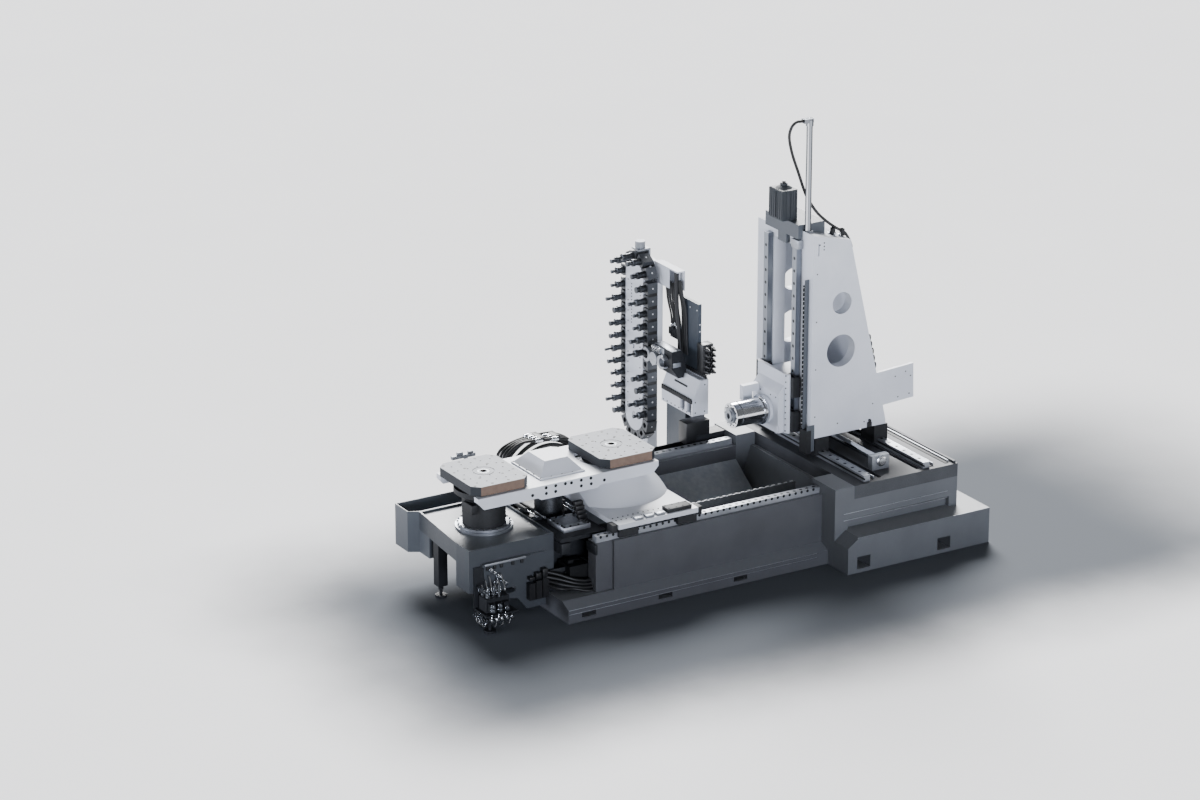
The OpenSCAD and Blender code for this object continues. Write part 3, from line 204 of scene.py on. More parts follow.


# %% [markdown]
# ## Machine paint
# The castings and sheets are sprayed with two-part enamel. Up close it has a fine orange peel about
# 3 mm across, and on metre-long walls the tone drifts a little where dust and hand marks lie. A soft
# cloud pattern mixes two near tones, a second one varies the gloss, and a fine noise gives the peel.
# The peel is drawn twice as coarse as it is, so that it still shows from 30 m. On the beds and the
# frame the faces that look up get a lighter tone, a painted highlight of the light from above, which
# the direction of the face decides. Paint has a weak mirror part: the main light comes towards the
# camera, and a full one would turn every level face white.

# %% Sprayed enamel
def enamel(name, code, shade, rough=0.42, peel=0.12, level=None):
    paint = empty_material(name)
    where = add(paint, "TexCoord").outputs["Object"]
    drift = add(paint, "TexNoise", {"Vector": where, "Scale": 2.2, "Detail": 5.0, "Roughness": 0.6})
    spots = add(paint, "TexNoise", {"Vector": where, "Scale": 38.0, "Detail": 3.0})
    skin = add(paint, "TexNoise", {"Vector": where, "Scale": 160.0, "Detail": 1.0})
    colour = blend(paint, stretch(paint, drift.outputs["Fac"], (0.35, 0.7)), code, shade)
    # With a level tone, faces that look up take it: a painted highlight of the light from above.
    if level:
        upward = add(paint, "SeparateXYZ", {0: add(paint, "NewGeometry").outputs["Normal"]}).outputs["Z"]
        colour = blend(paint, stretch(paint, upward, (0.8, 0.98)), colour, level)
    gloss = stretch(paint, spots.outputs["Fac"], end=(rough - 0.07, rough + 0.09))
    bump = add(paint, "Bump", {"Height": skin.outputs["Fac"], "Strength": peel, "Distance": 0.002})
    return finished(paint, {"Base Color": colour, "Roughness": gloss, "IOR": 1.5, "Specular IOR Level": 0.25,
                            "Normal": bump.outputs[0]})


light_enamel = enamel("light_blue_grey_enamel", "#dadde4", "#cdd1d9", rough=0.38)
# The level tones of the two beds and the frame are a painted highlight on their upward faces.
cast_enamel = enamel("mid_grey_enamel_on_casting", "#505256", "#48494d", rough=0.46, peel=0.3, level="#75787d")
cross_enamel = enamel("lighter_grey_enamel_on_casting", "#64676b", "#5b5e62", rough=0.42, peel=0.3, level="#85888d")
frame_enamel = enamel("dark_grey_enamel_on_plate", "#43474c", "#3c4045", rough=0.4, level="#6e7379")
sheet_enamel = enamel("grey_enamel_on_sheet", "#565b61", "#4c5157", rough=0.4)
dark_enamel = enamel("dark_grey_enamel", "#232529", "#1b1d20", rough=0.45)
slate_enamel = enamel("slate_blue_enamel", "#3d444d", "#363d45", rough=0.4)
motor_enamel = enamel("motor_grey_enamel", "#3c4045", "#34383c", rough=0.42, peel=0.3)
black_enamel = enamel("matt_black_enamel", "#141517", "#0e0f11", rough=0.55, peel=0.2)

# %% [markdown]
# ## Bare metal
# Ways, pallets and bearing blocks are ground: the wheel leaves fine lines along the travel, which
# spread the highlight across them. A noise stretched along the lines makes both the tone and the gloss
# vary, as on real ground steel. Rolled rails run along one axis, so each gets lines on its own axis.

# %% Ground steel, chrome and blackened steel
def ground_steel(name, code, shade, lines, rough=0.3, metal=1.0):
    steel = empty_material(name)
    where = add(steel, "TexCoord").outputs["Object"]
    stretched = add(steel, "Mapping", {"Vector": where, "Scale": lines}).outputs[0]
    grain = add(steel, "TexNoise", {"Vector": stretched, "Scale": 1.0, "Detail": 3.0})
    cloud = add(steel, "TexNoise", {"Vector": where, "Scale": 5.0, "Detail": 4.0})
    both = add(steel, "Math", {0: grain.outputs["Fac"], 1: cloud.outputs["Fac"]}, operation="MULTIPLY").outputs[0]
    colour = blend(steel, stretch(steel, both, (0.12, 0.42)), shade, code)
    gloss = stretch(steel, grain.outputs["Fac"], end=(rough - 0.08, rough + 0.1))
    bump = add(steel, "Bump", {"Height": grain.outputs["Fac"], "Strength": 0.08, "Distance": 0.0005})
    return finished(steel, {"Base Color": colour, "Metallic": metal, "Roughness": gloss, "Normal": bump.outputs[0]})


rail_steel_y = ground_steel("ground_rail_steel_lengthwise", "#a6a9af", "#85898f", (300, 4, 300), rough=0.42, metal=0.6)
rail_steel_x = ground_steel("ground_rail_steel_crosswise", "#a6a9af", "#85898f", (4, 300, 300), rough=0.42, metal=0.6)
rail_steel_z = ground_steel("ground_rail_steel_upright", "#8d929a", "#7c8189", (300, 300, 0.8), rough=0.3)
block_steel = ground_steel("milled_block_steel", "#aeb1b7", "#8f9399", (60, 60, 220), rough=0.4, metal=0.75)
way_plate = ground_steel("dark_scraped_way_plate", "#4b4d51", "#3c3e42", (4, 120, 120), rough=0.6, metal=0.15)
zinc_sheet = ground_steel("zinc_coated_sheet", "#8f9399", "#7c8086", (30, 30, 30), rough=0.5, metal=0.3)
dark_steel = ground_steel("dark_tool_steel", "#5e6165", "#3b3d40", (90, 90, 90), rough=0.36, metal=0.9)
oxide_steel = ground_steel("black_oxide_steel", "#25272a", "#191a1c", (40, 40, 40), rough=0.6, metal=0.25)
hard_chrome = ground_steel("hard_chrome_plate", "#dfe1e5", "#c9ccd1", (12, 12, 12), rough=0.13)

# %% [markdown]
# ## Pallet steel
# A pallet is a ground plate of cast iron. Its top is bright, its ends and chamfers are milled and dark,
# and one long side keeps the brown film of rust-preventing oil. The direction of each face in the
# pallet itself decides its tone, so the brown side turns with the pallet.

# %% Ground pallet with oiled sides
def pallet_iron(name):
    iron = empty_material(name)
    where = add(iron, "TexCoord").outputs["Object"]
    axes = add(iron, "SeparateXYZ", {0: add(iron, "TexCoord").outputs["Normal"]})
    lines = add(iron, "Mapping", {"Vector": where, "Scale": (5, 260, 260)}).outputs[0]
    grain = add(iron, "TexNoise", {"Vector": lines, "Scale": 1.0, "Detail": 3.0})
    blotch = add(iron, "TexNoise", {"Vector": where, "Scale": 30.0, "Detail": 5.0}).outputs["Fac"]
    top = stretch(iron, axes.outputs["Z"], (0.8, 0.9))
    side = stretch(iron, axes.outputs["X"], (0.8, 0.9))
    milled = blend(iron, top, "#34373b", blend(iron, blotch, "#85888e", "#777a80"))
    colour = blend(iron, side, milled, blend(iron, blotch, "#8a7568", "#6f5f55"))
    gloss = stretch(iron, grain.outputs["Fac"], end=(0.46, 0.62))
    bump = add(iron, "Bump", {"Height": grain.outputs["Fac"], "Strength": 0.06, "Distance": 0.0005})
    return finished(iron, {"Base Color": colour, "Metallic": stretch(iron, top, end=(0.25, 0.1)), "Roughness": gloss,
                           "Specular IOR Level": 0.15, "Normal": bump.outputs[0]})


pallet_finish = pallet_iron("ground_pallet_iron_with_oiled_side")


# %% [markdown]
# ## Two finishes that turn with the face
# The saddle's level rims are bright, while the steep cone under the table is dark: painted shade under
# the table and a painted reflection of dark surroundings on the glossy cone. The cylinder tube of the
# counterbalance is polished; the bright and dark bands down its length are a painted reflection,
# which a ramp of tones over the direction of the face gives in any light.

# %% Saddle paint with painted shade and chrome with painted reflection
def slope_shaded_enamel(name, level, steep):
    paint = empty_material(name)
    where = add(paint, "TexCoord").outputs["Object"]
    spots = add(paint, "TexNoise", {"Vector": where, "Scale": 30.0, "Detail": 4.0})
    # Level faces take the light tone, steep faces the dark one: painted shade and painted reflection.
    facing = add(paint, "SeparateXYZ", {0: add(paint, "NewGeometry").outputs["Normal"]}).outputs["Z"]
    colour = blend(paint, stretch(paint, facing, (0.25, 0.97)), steep, level)
    gloss = stretch(paint, spots.outputs["Fac"], end=(0.24, 0.4))
    return finished(paint, {"Base Color": colour, "Roughness": gloss, "IOR": 1.5})


def chrome_with_painted_reflection(name, bands):
    plate = empty_material(name)
    normal = add(plate, "NewGeometry").outputs["Normal"]
    # The bands follow the face's direction across the view: a painted reflection.
    across = add(plate, "VectorMath", {0: normal, 1: (0.515, 0.857, 0)}, operation="DOT_PRODUCT").outputs["Value"]
    ramp_node = add(plate, "ValToRGB", {"Fac": stretch(plate, across, (-1, 1))})
    stops = ramp_node.color_ramp.elements
    while len(stops) < len(bands):
        stops.new(0.5)
    for stop, (spot, code) in zip(stops, bands):
        stop.position = spot
        stop.color = tone(code)
    return finished(plate, {"Base Color": ramp_node.outputs["Color"], "Metallic": 1.0, "Roughness": 0.2})


saddle_enamel = slope_shaded_enamel("enamel_on_saddle_with_painted_shade", "#dfe2e8", "#cdd0d6")
tube_chrome = chrome_with_painted_reflection("chromed_cylinder_tube_with_painted_reflection", [
    (0.0, "#3c3f44"), (0.12, "#6b6f76"), (0.3, "#e8eaee"), (0.36, "#dfe1e5"), (0.46, "#6f737a"), (0.68, "#9da1a8"),
    (0.84, "#4a4d52"), (1.0, "#2b2d31")])

# %% [markdown]
# ## Rubber and moulded plastic
# Hoses have a braided cover with a rib every few millimetres, and cables run in a matt sleeve. The
# chain's pots are moulded in glass-filled nylon, which looks dark grey with a faint sparkle. None of
# these is a metal: the gloss is wide and low, and the colour stays even.

# %% Rubber, sleeve and nylon
def moulded(name, code, shade, rough, grain, depth):
    plastic = empty_material(name)
    where = add(plastic, "TexCoord").outputs["Object"]
    cloud = add(plastic, "TexNoise", {"Vector": where, "Scale": 9.0, "Detail": 3.0})
    fine = add(plastic, "TexVoronoi", {"Vector": where, "Scale": grain})
    colour = blend(plastic, cloud.outputs["Fac"], code, shade)
    gloss = stretch(plastic, cloud.outputs["Fac"], end=(rough - 0.08, rough + 0.08))
    bump = add(plastic, "Bump", {"Height": fine.outputs["Distance"], "Strength": 0.25, "Distance": depth})
    return finished(plastic, {"Base Color": colour, "Roughness": gloss, "IOR": 1.5, "Normal": bump.outputs[0]})


hose_rubber = moulded("braided_hose_rubber", "#17181a", "#0f1011", 0.5, 260.0, 0.001)
sleeve_nylon = moulded("woven_nylon_sleeve", "#141517", "#1f2022", 0.6, 320.0, 0.001)
pot_nylon = moulded("glass_filled_nylon", "#45484d", "#393c40", 0.46, 400.0, 0.0006)
box_plastic = moulded("black_moulded_plastic", "#17181b", "#101113", 0.4, 500.0, 0.0004)
signal_white = moulded("white_moulded_plastic", "#e4e6ea", "#d6d8dc", 0.4, 400.0, 0.0003)
hose.data.materials.append(hose_rubber)
sleeve.data.materials.append(sleeve_nylon)

# %% [markdown]
# ## Finishes on the frame
# A construction solid keeps its mesh and only gets a better finish in its material slot. The table
# below is the machine's paint list: which casting is sprayed, which face is ground, what is chrome.

# %% The paint list
finish_of = {
    light_enamel: ["magazine_stand", "magazine_plate", "guide_base", "cable_duct", "changer_arm",
                   "arm_cover", "column", "tail_bracket", "headstock"],
    saddle_enamel: ["saddle"],
    cast_enamel: ["z_bed"],
    cross_enamel: ["x_bed"],
    frame_enamel: ["front_frame", "side_panel"],
    sheet_enamel: ["coolant_tub", "guide_post", "y_drive_housing"],
    dark_enamel: ["cable_channel", "changer_base", "frame_feet", "hydraulic_manifold", "tool_carriage"],
    slate_enamel: ["switch_panel"],
    motor_enamel: ["y_motor"],
    black_enamel: ["z_motor", "x_motor", "magazine_motor"],
    rail_steel_y: ["z_rails"],
    rail_steel_x: ["x_rails"],
    rail_steel_z: ["y_rails"],
    block_steel: ["screw_bearings", "station_ring", "rotary_table", "tool_arm",
                  "magazine_wheel_top", "magazine_wheel_low", "spindle"],
    way_plate: ["x_way_plate"],
    zinc_sheet: ["trough_liner", "screw_cover", "magazine_cover"],
    dark_steel: ["tools", "changer_column"],
    oxide_steel: ["z_carriages", "station_table", "x_carriages", "head_carriages"],
    tube_chrome: ["counterbalance"],
    hard_chrome: ["hydraulic_fittings", "spindle_housing", "z_ballscrew", "x_ballscrew",
                  "y_ballscrew"],
    pallet_finish: ["pallet_rear", "pallet_front"],
    hose_rubber: ["hose_arch", "hose"],
    sleeve_nylon: ["cable_bundle"],
    pot_nylon: ["chain_pots"],
    box_plastic: ["terminal_boxes"],
}
painted = 0
for finish, nodes in finish_of.items():
    for node in nodes:
        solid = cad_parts[node]
        for slot in range(max(1, len(solid.material_slots))):
            if not solid.material_slots:
                solid.data.materials.append(finish)
            else:
                solid.material_slots[slot].material = finish
        painted += 1
print("nodes with a finish:", painted, "of", len(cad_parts))

# %% [markdown]
# ## Working with operators
# New parts are modelled as a person would do it by hand: add a primitive, go to edit mode, select
# faces, extrude or inset them. In a script the selection is the weak point, because the frame is
# loaded selected and a new primitive is selected all over. So every part starts by letting go of
# everything, and faces are picked by their place or normal.

# %% Small tools of the workshop
def begin(*pieces):
    """Let go of everything, then take up the given pieces, the first one active."""
    if bpy.context.object and bpy.context.object.mode != "OBJECT":
        bpy.ops.object.mode_set(mode="OBJECT")
    bpy.ops.object.select_all(action="DESELECT")
    for piece in pieces:
        piece.select_set(True)
    if pieces:
        bpy.context.view_layer.objects.active = pieces[0]


def pick(test):
    """In edit mode, select the faces whose middle and normal pass the test."""
    bpy.ops.mesh.select_mode(type="FACE")
    bpy.ops.mesh.select_all(action="DESELECT")
    mesh = bmesh.from_edit_mesh(bpy.context.object.data)
    for face in mesh.faces:
        face.select_set(bool(test(face.calc_center_median(), face.normal)))
    bmesh.update_edit_mesh(bpy.context.object.data)


def pressed(piece, test, steps):
    """Inset the picked faces and move them, once for each (inset, move) in millimetres."""
    begin(piece)
    bpy.ops.object.mode_set(mode="EDIT")
    pick(test)
    for inset, move in steps:
        bpy.ops.mesh.inset(thickness=inset / 1000)
        bpy.ops.transform.translate(value=[way / 1000 for way in move])
    bpy.ops.object.mode_set(mode="OBJECT")
    return piece


def rounded(piece, width):
    """Break the sharp edges of a piece with an applied bevel, in millimetres."""
    begin(piece)
    bevel = piece.modifiers.new("broken edges", "BEVEL")
    bevel.width = width / 1000
    bevel.segments = 2
    bevel.limit_method = "ANGLE"
    bpy.ops.object.modifier_apply(modifier=bevel.name)
    return piece


def turned(name, profile, sides=24):
    """A part from the lathe, standing on the origin: a disc extruded and resized up its axis.
    The profile is a list of (height, radius) in millimetres."""
    begin()
    height, radius = profile[0]
    bpy.ops.mesh.primitive_circle_add(vertices=sides, radius=radius / 1000, fill_type="NGON",
                                      location=(0, 0, height / 1000))
    piece = bpy.context.object
    piece.name = name
    bpy.ops.object.transform_apply(location=True, rotation=True, scale=True)
    bpy.ops.object.mode_set(mode="EDIT")
    for next_height, next_radius in profile[1:]:
        bpy.ops.mesh.extrude_region_move(
            TRANSFORM_OT_translate={"value": (0, 0, (next_height - height) / 1000)})
        grow = next_radius / radius
        bpy.ops.transform.resize(value=(grow, grow, 1), center_override=(0, 0, next_height / 1000))
        height, radius = next_height, next_radius
    bpy.ops.mesh.select_all(action="SELECT")
    bpy.ops.mesh.normals_make_consistent(inside=False)
    bpy.ops.object.mode_set(mode="OBJECT")
    return piece


def block(name, low, high, edge=2.0):
    """A machined block between two drawing corners, with broken edges."""
    begin()
    a, b = at(*low), at(*high)
    bpy.ops.mesh.primitive_cube_add(size=1, location=(a + b) / 2)
    piece = bpy.context.object
    piece.name = name
    piece.scale = [abs(b[i] - a[i]) for i in range(3)]
    bpy.ops.object.transform_apply(location=True, rotation=True, scale=True)
    return rounded(piece, edge) if edge else piece


def joined(name, pieces):
    begin(*pieces)
    bpy.ops.object.join()
    pieces[0].name = name
    return pieces[0]


def copies(pattern, name, places):
    """One copy of the pattern with its own mesh at each place, its axis along the given direction."""
    made = []
    for place, axis in places:
        twist = Vector(axis).to_track_quat("Z", "Y").to_matrix().to_4x4()
        mesh = pattern.data.copy()
        mesh.transform(Matrix.Translation(at(*place)) @ twist)
        piece = bpy.data.objects.new(name, mesh)
        bpy.context.scene.collection.objects.link(piece)
        made.append(piece)
    return joined(name, made)


def pipe(name, points, diameter, sides=4, steps=4):
    """A bent pipe through drawing points, as a mesh."""
    piece = line(name, smooth(points, steps), diameter, sides)
    begin(piece)
    bpy.ops.object.convert(target="MESH")
    return piece


fitted = []


def fit(piece, body, finish, replaced=()):
    """Smooth a finished piece, give it its finish and let it ride on its body."""
    begin(piece)
    bpy.ops.object.shade_smooth_by_angle(angle=math.radians(35))
    piece.data.materials.clear()
    piece.data.materials.append(finish)
    if replaced:
        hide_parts(*replaced)
    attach(piece, body)
    fitted.append(piece.name)
    return piece


def group(name, pieces, body, finish, replaced=()):
    return fit(joined(name, pieces), body, finish, replaced)


def spread(pattern, name, places, body, finish):
    return fit(copies(pattern, name, places), body, finish)


# %% [markdown]
# ## Cap screws
# The machine is held together by socket-head screws. Their heads sit in counterbores, so that only a
# dark disc with its key socket shows. One head is turned and then given its socket: the top face is
# inset to the width of the key and pushed down, but not below the face that the head stands on.

# %% One screw head
def screw(name, radius, height, sides=12):
    head = turned(name, [(-2, radius), (height - 1, radius), (height, radius - 1)], sides)
    return pressed(head, lambda spot, normal: normal.z > 0.9 and spot.z > (height - 0.5) / 1000,
                   [(radius * 0.4, (0, 0, 0.6 - height))])


rail_cap = screw("rail_cap", 14, 0.8)
side_screw = screw("side_screw", 9, 5)
small_screw = screw("small_screw", 6, 3, 8)
arm_screw = screw("arm_screw", 13, 3, 16)

# %% [markdown]
# ## Screws of the rails
# A linear rail is screwed down at an even pitch, here 60 mm on the long bed and 105 mm on the others,
# and the row of caps is what makes it read as a rail.

# %% Rows of caps on the rails
up, front, near, far = (0, 0, 1), (0, -1, 0), (1, 0, 0), (-1, 0, 0)
column_x, spindle_z = -200, 990
z_caps = [((side * 640, y, 610), up) for side in (-1, 1) for y in range(360, 2370, 60)]
x_caps = [((x, y, 700), up) for y in (2711, 3284) for x in range(-830, 840, 105)]
y_caps = [((column_x + side * 205, 2550, z), front) for side in (-1, 1) for z in range(930, 2400, 105)]
spread(rail_cap, "long_bed_rail_caps", z_caps, "machine_bed", black_enamel)
spread(rail_cap, "cross_bed_rail_caps", x_caps, "machine_bed", black_enamel)
spread(rail_cap, "upright_rail_caps", y_caps, "column_unit", oxide_steel)
bpy.data.objects.remove(rail_cap)
print("rail caps:", len(z_caps) + len(x_caps) + len(y_caps))

# %% [markdown]
# ## Tools in the chain
# Each pot holds a cutter in a taper holder: a flange with a V groove for the gripper, a nut, and a
# cutter of its own length. A holder is a lathe part, so it is turned from a profile. Six kinds are
# made once, and each pot of the magazine gets a copy. They take the place of the plain solids.

# %% Six holders and their places
kinds = [(118, 30), (150, 36), (176, 24), (132, 42), (95, 52), (165, 32)]
holders = []
for reach, cutter in kinds:
    nose = 0.62 * reach
    holders.append(turned("holder", [
        (-60, 18), (-4, 22), (-4, 31), (3, 31.5), (8, 31.5), (10, 26), (14, 26), (16, 31.5), (22, 31.5),
        (23, 27), (0.4 * reach, 27), (0.42 * reach, 31), (nose - 4, 30), (nose, 24), (nose, cutter * 0.42),
        (0.8 * reach, cutter * 0.42), (0.82 * reach, cutter / 2), (reach - 2, cutter / 2), (reach, cutter * 0.4)], 16))
pitch, chain_r, chain_x, low_z = 110, 10 * 110 / (2 * math.pi), -1685, 530
high_z = low_z + 11 * pitch
pots = [(chain_r, low_z + (i + 0.5) * pitch, 0) for i in range(11)]
for k in range(1, 6):
    a = (k * 6.5 / 6 - 0.5) * 36
    pots.append((chain_r * math.cos(math.radians(a)), high_z + chain_r * math.sin(math.radians(a)), a))
pots += [(-chain_r, high_z - (i + 1) * pitch, 180) for i in range(11)]
for k in range(1, 6):
    a = 180 + k * 5.5 / 6 * 36
    pots.append((chain_r * math.cos(math.radians(a)), low_z + chain_r * math.sin(math.radians(a)), a))
made = []
for i, (x, z, angle) in enumerate(pots[:-5]):
    if i != 4:
        pattern = holders[(i * 5 + i // 4) % len(holders)]
        made.append(copies(pattern, "tool", [((chain_x + x, 2100, z), front)]))
group("tools_in_the_chain", made, "machine_bed", dark_steel, ["tools"])
for pattern in holders:
    bpy.data.objects.remove(pattern)
print("tools:", len(made))

# %% [markdown]
# ## Pot markers and link pins
# A small white stud shows on the outer face of each pot, and each pot is held to its neighbours by two
# pins. They are tiny, but they repeat along the whole chain, so the eye reads them as a chain.

# %% Studs, link pins and dark links
stud = turned("stud", [(-2, 7), (2.5, 7), (4, 5.5)], 10)
pin = turned("pin", [(-4, 11), (6, 11), (8, 9)], 10)
stud_places, pin_places = [], []
for x, z, angle in pots:
    out = (math.cos(math.radians(angle)), 0, math.sin(math.radians(angle)))
    stud_places.append(((chain_x + x + 39 * out[0], 2148, z + 39 * out[2]), out))
    for side in (-1, 1):
        pin_places.append(((chain_x + x - side * 36 * out[2], 2203, z + side * 36 * out[0]), (0, 1, 0)))
spread(stud, "pot_studs", stud_places, "machine_bed", signal_white)
spread(pin, "chain_link_pins", pin_places, "machine_bed", oxide_steel)
bpy.data.objects.remove(stud)
bpy.data.objects.remove(pin)

# %% [markdown]
# ## Screws of the changer arm and the station
# The changer arm is a plate with deep skirts. Rows of black screws on its near side hold the fork
# pads, and the same rows are on the far side. The turning hub of the station is clamped by a ring of
# chromed screws.

# %% Arm, ring, cover and plate screws
arm_places = []
for side, axis in ((330, near), (-330, far)):
    for y, z in ((77, 952), (163, 952), (249, 952), (303, 948), (391, 952), (478, 952), (79, 905), (162, 905),
                 (391, 905), (481, 905), (-43, 912), (599, 912)):
        arm_places.append(((side, y, z), axis))
spread(arm_screw, "changer_arm_screws", arm_places, "changer", black_enamel)
ring_r, station_y, changer_y, table_y = 204, -287, 287, 861
ring_places = [((ring_r * math.cos(math.radians(a)), station_y + ring_r * math.sin(math.radians(a)), 640), up)
               for a in range(0, 360, 15)]
ring_head = screw("ring_head", 8, 7)
spread(ring_head, "station_ring_screws", ring_places, "machine_bed", hard_chrome)
plate_places = [((chain_x + x, 2100, z), front) for x in (-95, 95) for z in range(610, 1700, 90)]
plate_places += [((chain_x - 40, 2100, z), front) for z in range(1330, 1690, 28)]
spread(small_screw, "magazine_plate_screws", plate_places, "machine_bed", oxide_steel)
cover_places = [((x, changer_y + y, 986), up) for x in (-212, 212) for y in (-190, -95, 0, 95, 190)]
cover_places += [((x, changer_y + y, 986), up) for x in (-110, 0, 110) for y in (-192, 192)]
spread(small_screw, "cover_rim_screws", cover_places, "changer", oxide_steel)
print("screws on arm, ring, plate and cover:", len(arm_places + ring_places + plate_places + cover_places))

# %% [markdown]
# ## Rings in the pallets
# The centre bore of each pallet has a hardened bush, and sixteen sockets lie in rows round it. A bush
# is a lathe part with a chamfered mouth. It stands 1 mm proud, so that its edge catches the light.

# %% Bushes and clamp sockets
bush = turned("bush", [(-8, 52), (0.6, 52), (1.2, 50.5), (1.2, 30), (0, 27), (-8, 26)], 40)
socket = turned("socket", [(-2, 12), (0.5, 12), (0.7, 11)], 14)
pallet_top = 1055
for body, y in (("station", station_y), ("table_top", table_y)):
    spread(bush, f"{body}_centre_bush", [((0, y, pallet_top), up)], body, dark_steel)
    spots = [((x, y + v, pallet_top), up) for x in (-120, 120) for v in (-100, 100)]
    spots += [((x, y + v, pallet_top), up) for x in (-250, -80, 80, 250) for v in (-215, 215)]
    spots += [((x, y + v, pallet_top), up) for x in (-262, 262) for v in (-70, 70)]
    spread(socket, f"{body}_pallet_sockets", spots, body, black_enamel)
print("pallet sockets:", 2 * len(spots))

# %% [markdown]
# ## Fins of the drive motors
# A servo motor sheds its heat through long fins on its square body. One fin is a thin bar with broken
# edges, and the row is copied round the body. The round plug on the side takes the power cable.

# %% Fins and plugs
low, high = drawing_box("y_motor")
fins = []
body_top = high[2] - 45
for k in range(7):
    x = low[0] + 12 + k * (high[0] - low[0] - 24) / 6
    if abs(x + 200) > 16:
        fins.append(block("fin", (x - 3, low[1] - 5, low[2] + 8), (x + 3, low[1] + 2, body_top), 1))
for k in range(6):
    y = low[1] + 14 + k * (high[1] - low[1] - 28) / 5
    if abs(y - 2575) > 14:
        fins.append(block("fin", (high[0] - 2, y - 3, low[2] + 8), (high[0] + 5, y + 3, body_top), 1))
group("upright_motor_fins", fins, "column_unit", motor_enamel)
plug_shape = [(-4, 20), (6, 20), (8, 17), (26, 17), (28, 20), (46, 20), (48, 15), (62, 14)]
plug = turned("plug", plug_shape, 16)
spread(plug, "upright_motor_plugs", [((-290, 2560, 2700), far), ((-200, 2575, 2818), up)], "column_unit",
    box_plastic)

# %% [markdown]
# ## Strip beside the near guideway
# A dark channel runs up the near post beside the guideway. Round studs show in it at an even pitch.
# The channel is a bar whose front face is inset and pushed in, which leaves two thin walls as a bent
# sheet would have.

# %% Channel, studs and its light flange
strip = block("strip", (106, 2568, 918), (134, 2600, 2096), 0)
pressed(strip, lambda spot, normal: normal.y < -0.9, [(5, (0, 18, 0))])
fit(rounded(strip, 0.8), "column_unit", oxide_steel)
strip_stud = turned("strip_stud", [(-19, 4), (-3.5, 4), (-3, 5), (3, 5), (4.5, 4)], 8)
spread(strip_stud, "channel_studs", [((120, 2568, z), front) for z in range(940, 2090, 38)], "column_unit",
    signal_white)
fit(block("channel_flange", (142, 2560, 880), (146, 2600, 2150), 1), "column_unit", sheet_enamel)
fit(block("guideway_end_stop", (-45, 2548, 2380), (55, 2600, 2452), 4), "column_unit", block_steel)

# %% [markdown]
# ## Screws and plugs on the column and the head
# The head's front box and the guide shoes are bolted on, and the column's side carries lifting plugs.

# %% Rows of screws on the column unit and the head
side_places = [((200, y, z), near) for y, z in ((2660, 2440), (2700, 2452), (2700, 2424), (2700, 2396), (2860, 905),
               (3200, 1010), (3120, 870), (2640, 1000), (2640, 1400), (2640, 1800), (2640, 2200))]
spread(small_screw, "column_side_plugs", side_places, "column_unit", oxide_steel)
tail_places = [((194, y, z), near) for y, z in ((3420, 1200), (3520, 1225), (3570, 1180), (3560, 1030), (3450, 1020))]
spread(small_screw, "tail_plate_screws", tail_places, "column_unit", oxide_steel)
head_places = [((column_x + side * 208, 2485, z), front) for side in (-1, 1) for z in range(850, 1330, 52)]
head_places += [((column_x + x, 2430, 1130), front) for x in (-150, -75, 75, 150)]
spread(small_screw, "head_edge_screws", head_places, "head", oxide_steel)
nose_r = 84
nose_places = [((column_x + nose_r * math.cos(math.radians(a)), 2100, spindle_z + nose_r * math.sin(math.radians(a))),
                front) for a in range(0, 360, 30)]
spread(small_screw, "spindle_nose_screws", nose_places, "head", oxide_steel)
collar = turned("collar", [(0, 118), (6, 122), (24, 122), (26, 117), (34, 117), (36, 112)], 48)
spread(collar, "spindle_root_collar", [((column_x, 2400, spindle_z), front)], "head", hard_chrome)

# %% [markdown]
# ## Hose clips and valves on the column
# The hydraulic hose lies in two clips on the roof and goes down the sloping back, where a small valve
# block sits. A clip is a block that is opened from above with a groove for the hose.

# %% Clips and valve block
clips = []
for y, z in ((2860, 2469), (2950, 2447)):
    clip = block("clip", (62, y - 14, z - 6), (98, y + 14, z + 52), 0)
    pressed(clip, lambda spot, normal: normal.z > 0.9, [(6, (0, 0, -20))])
    clips.append(rounded(clip, 1.5))
group("roof_hose_clips", clips, "column_unit", oxide_steel)
valve = []
for k, (y, z) in enumerate(((3168, 1545), (3182, 1486), (3200, 1424), (3212, 1362), (3226, 1300))):
    valve.append(block("valve", (60 + 16 * (k % 2), y - 30, z), (150, y + 20, z + 44), 3))
    valve.append(pipe("loop", [(120, y + 18, z + 30), (122, y + 44, z + 24), (124, y + 46, z - 14),
                               (124, y + 20, z - 30)], 12, 3))
group("column_back_valves", valve, "column_unit", dark_enamel)

# %% [markdown]
# ## Plugs behind the panel
# Ten cable plugs leave a black block at the near edge of the electrical panel. A plug is a lathe part
# that steps down to its cable: a locking ring, a grip, a tapered boot. The block gets its shape from a
# cube whose near face is inset and pulled out into a raised plate for the sockets.

# %% Socket block and plugs
plug_block = block("plug_block", (-1010, 2290, 1072), (-925, 2392, 1330), 0)
pressed(plug_block, lambda spot, normal: normal.x > 0.9, [(12, (8, 0, 0))])
fit(rounded(plug_block, 2), "machine_bed", box_plastic)
boot = turned("boot", [(-2, 21), (6, 21), (8, 18), (18, 18), (20, 20), (32, 20), (34, 16), (66, 9), (68, 6)], 16)
boot_places = [((-917, y, z), near) for y in (2314, 2366) for z in range(1104, 1310, 48)]
spread(boot, "panel_plugs", boot_places, "machine_bed", box_plastic)
panel_places = [((-1250, 2300, 1500), front), ((-1030, 2300, 1600), front), ((-1030, 2300, 1030), front),
                ((-1135, 2300, 1600), front), ((-1010, 2315, 1420), near), ((-1010, 2315, 1480), near)]
spread(small_screw, "panel_screws", panel_places, "machine_bed", signal_white)

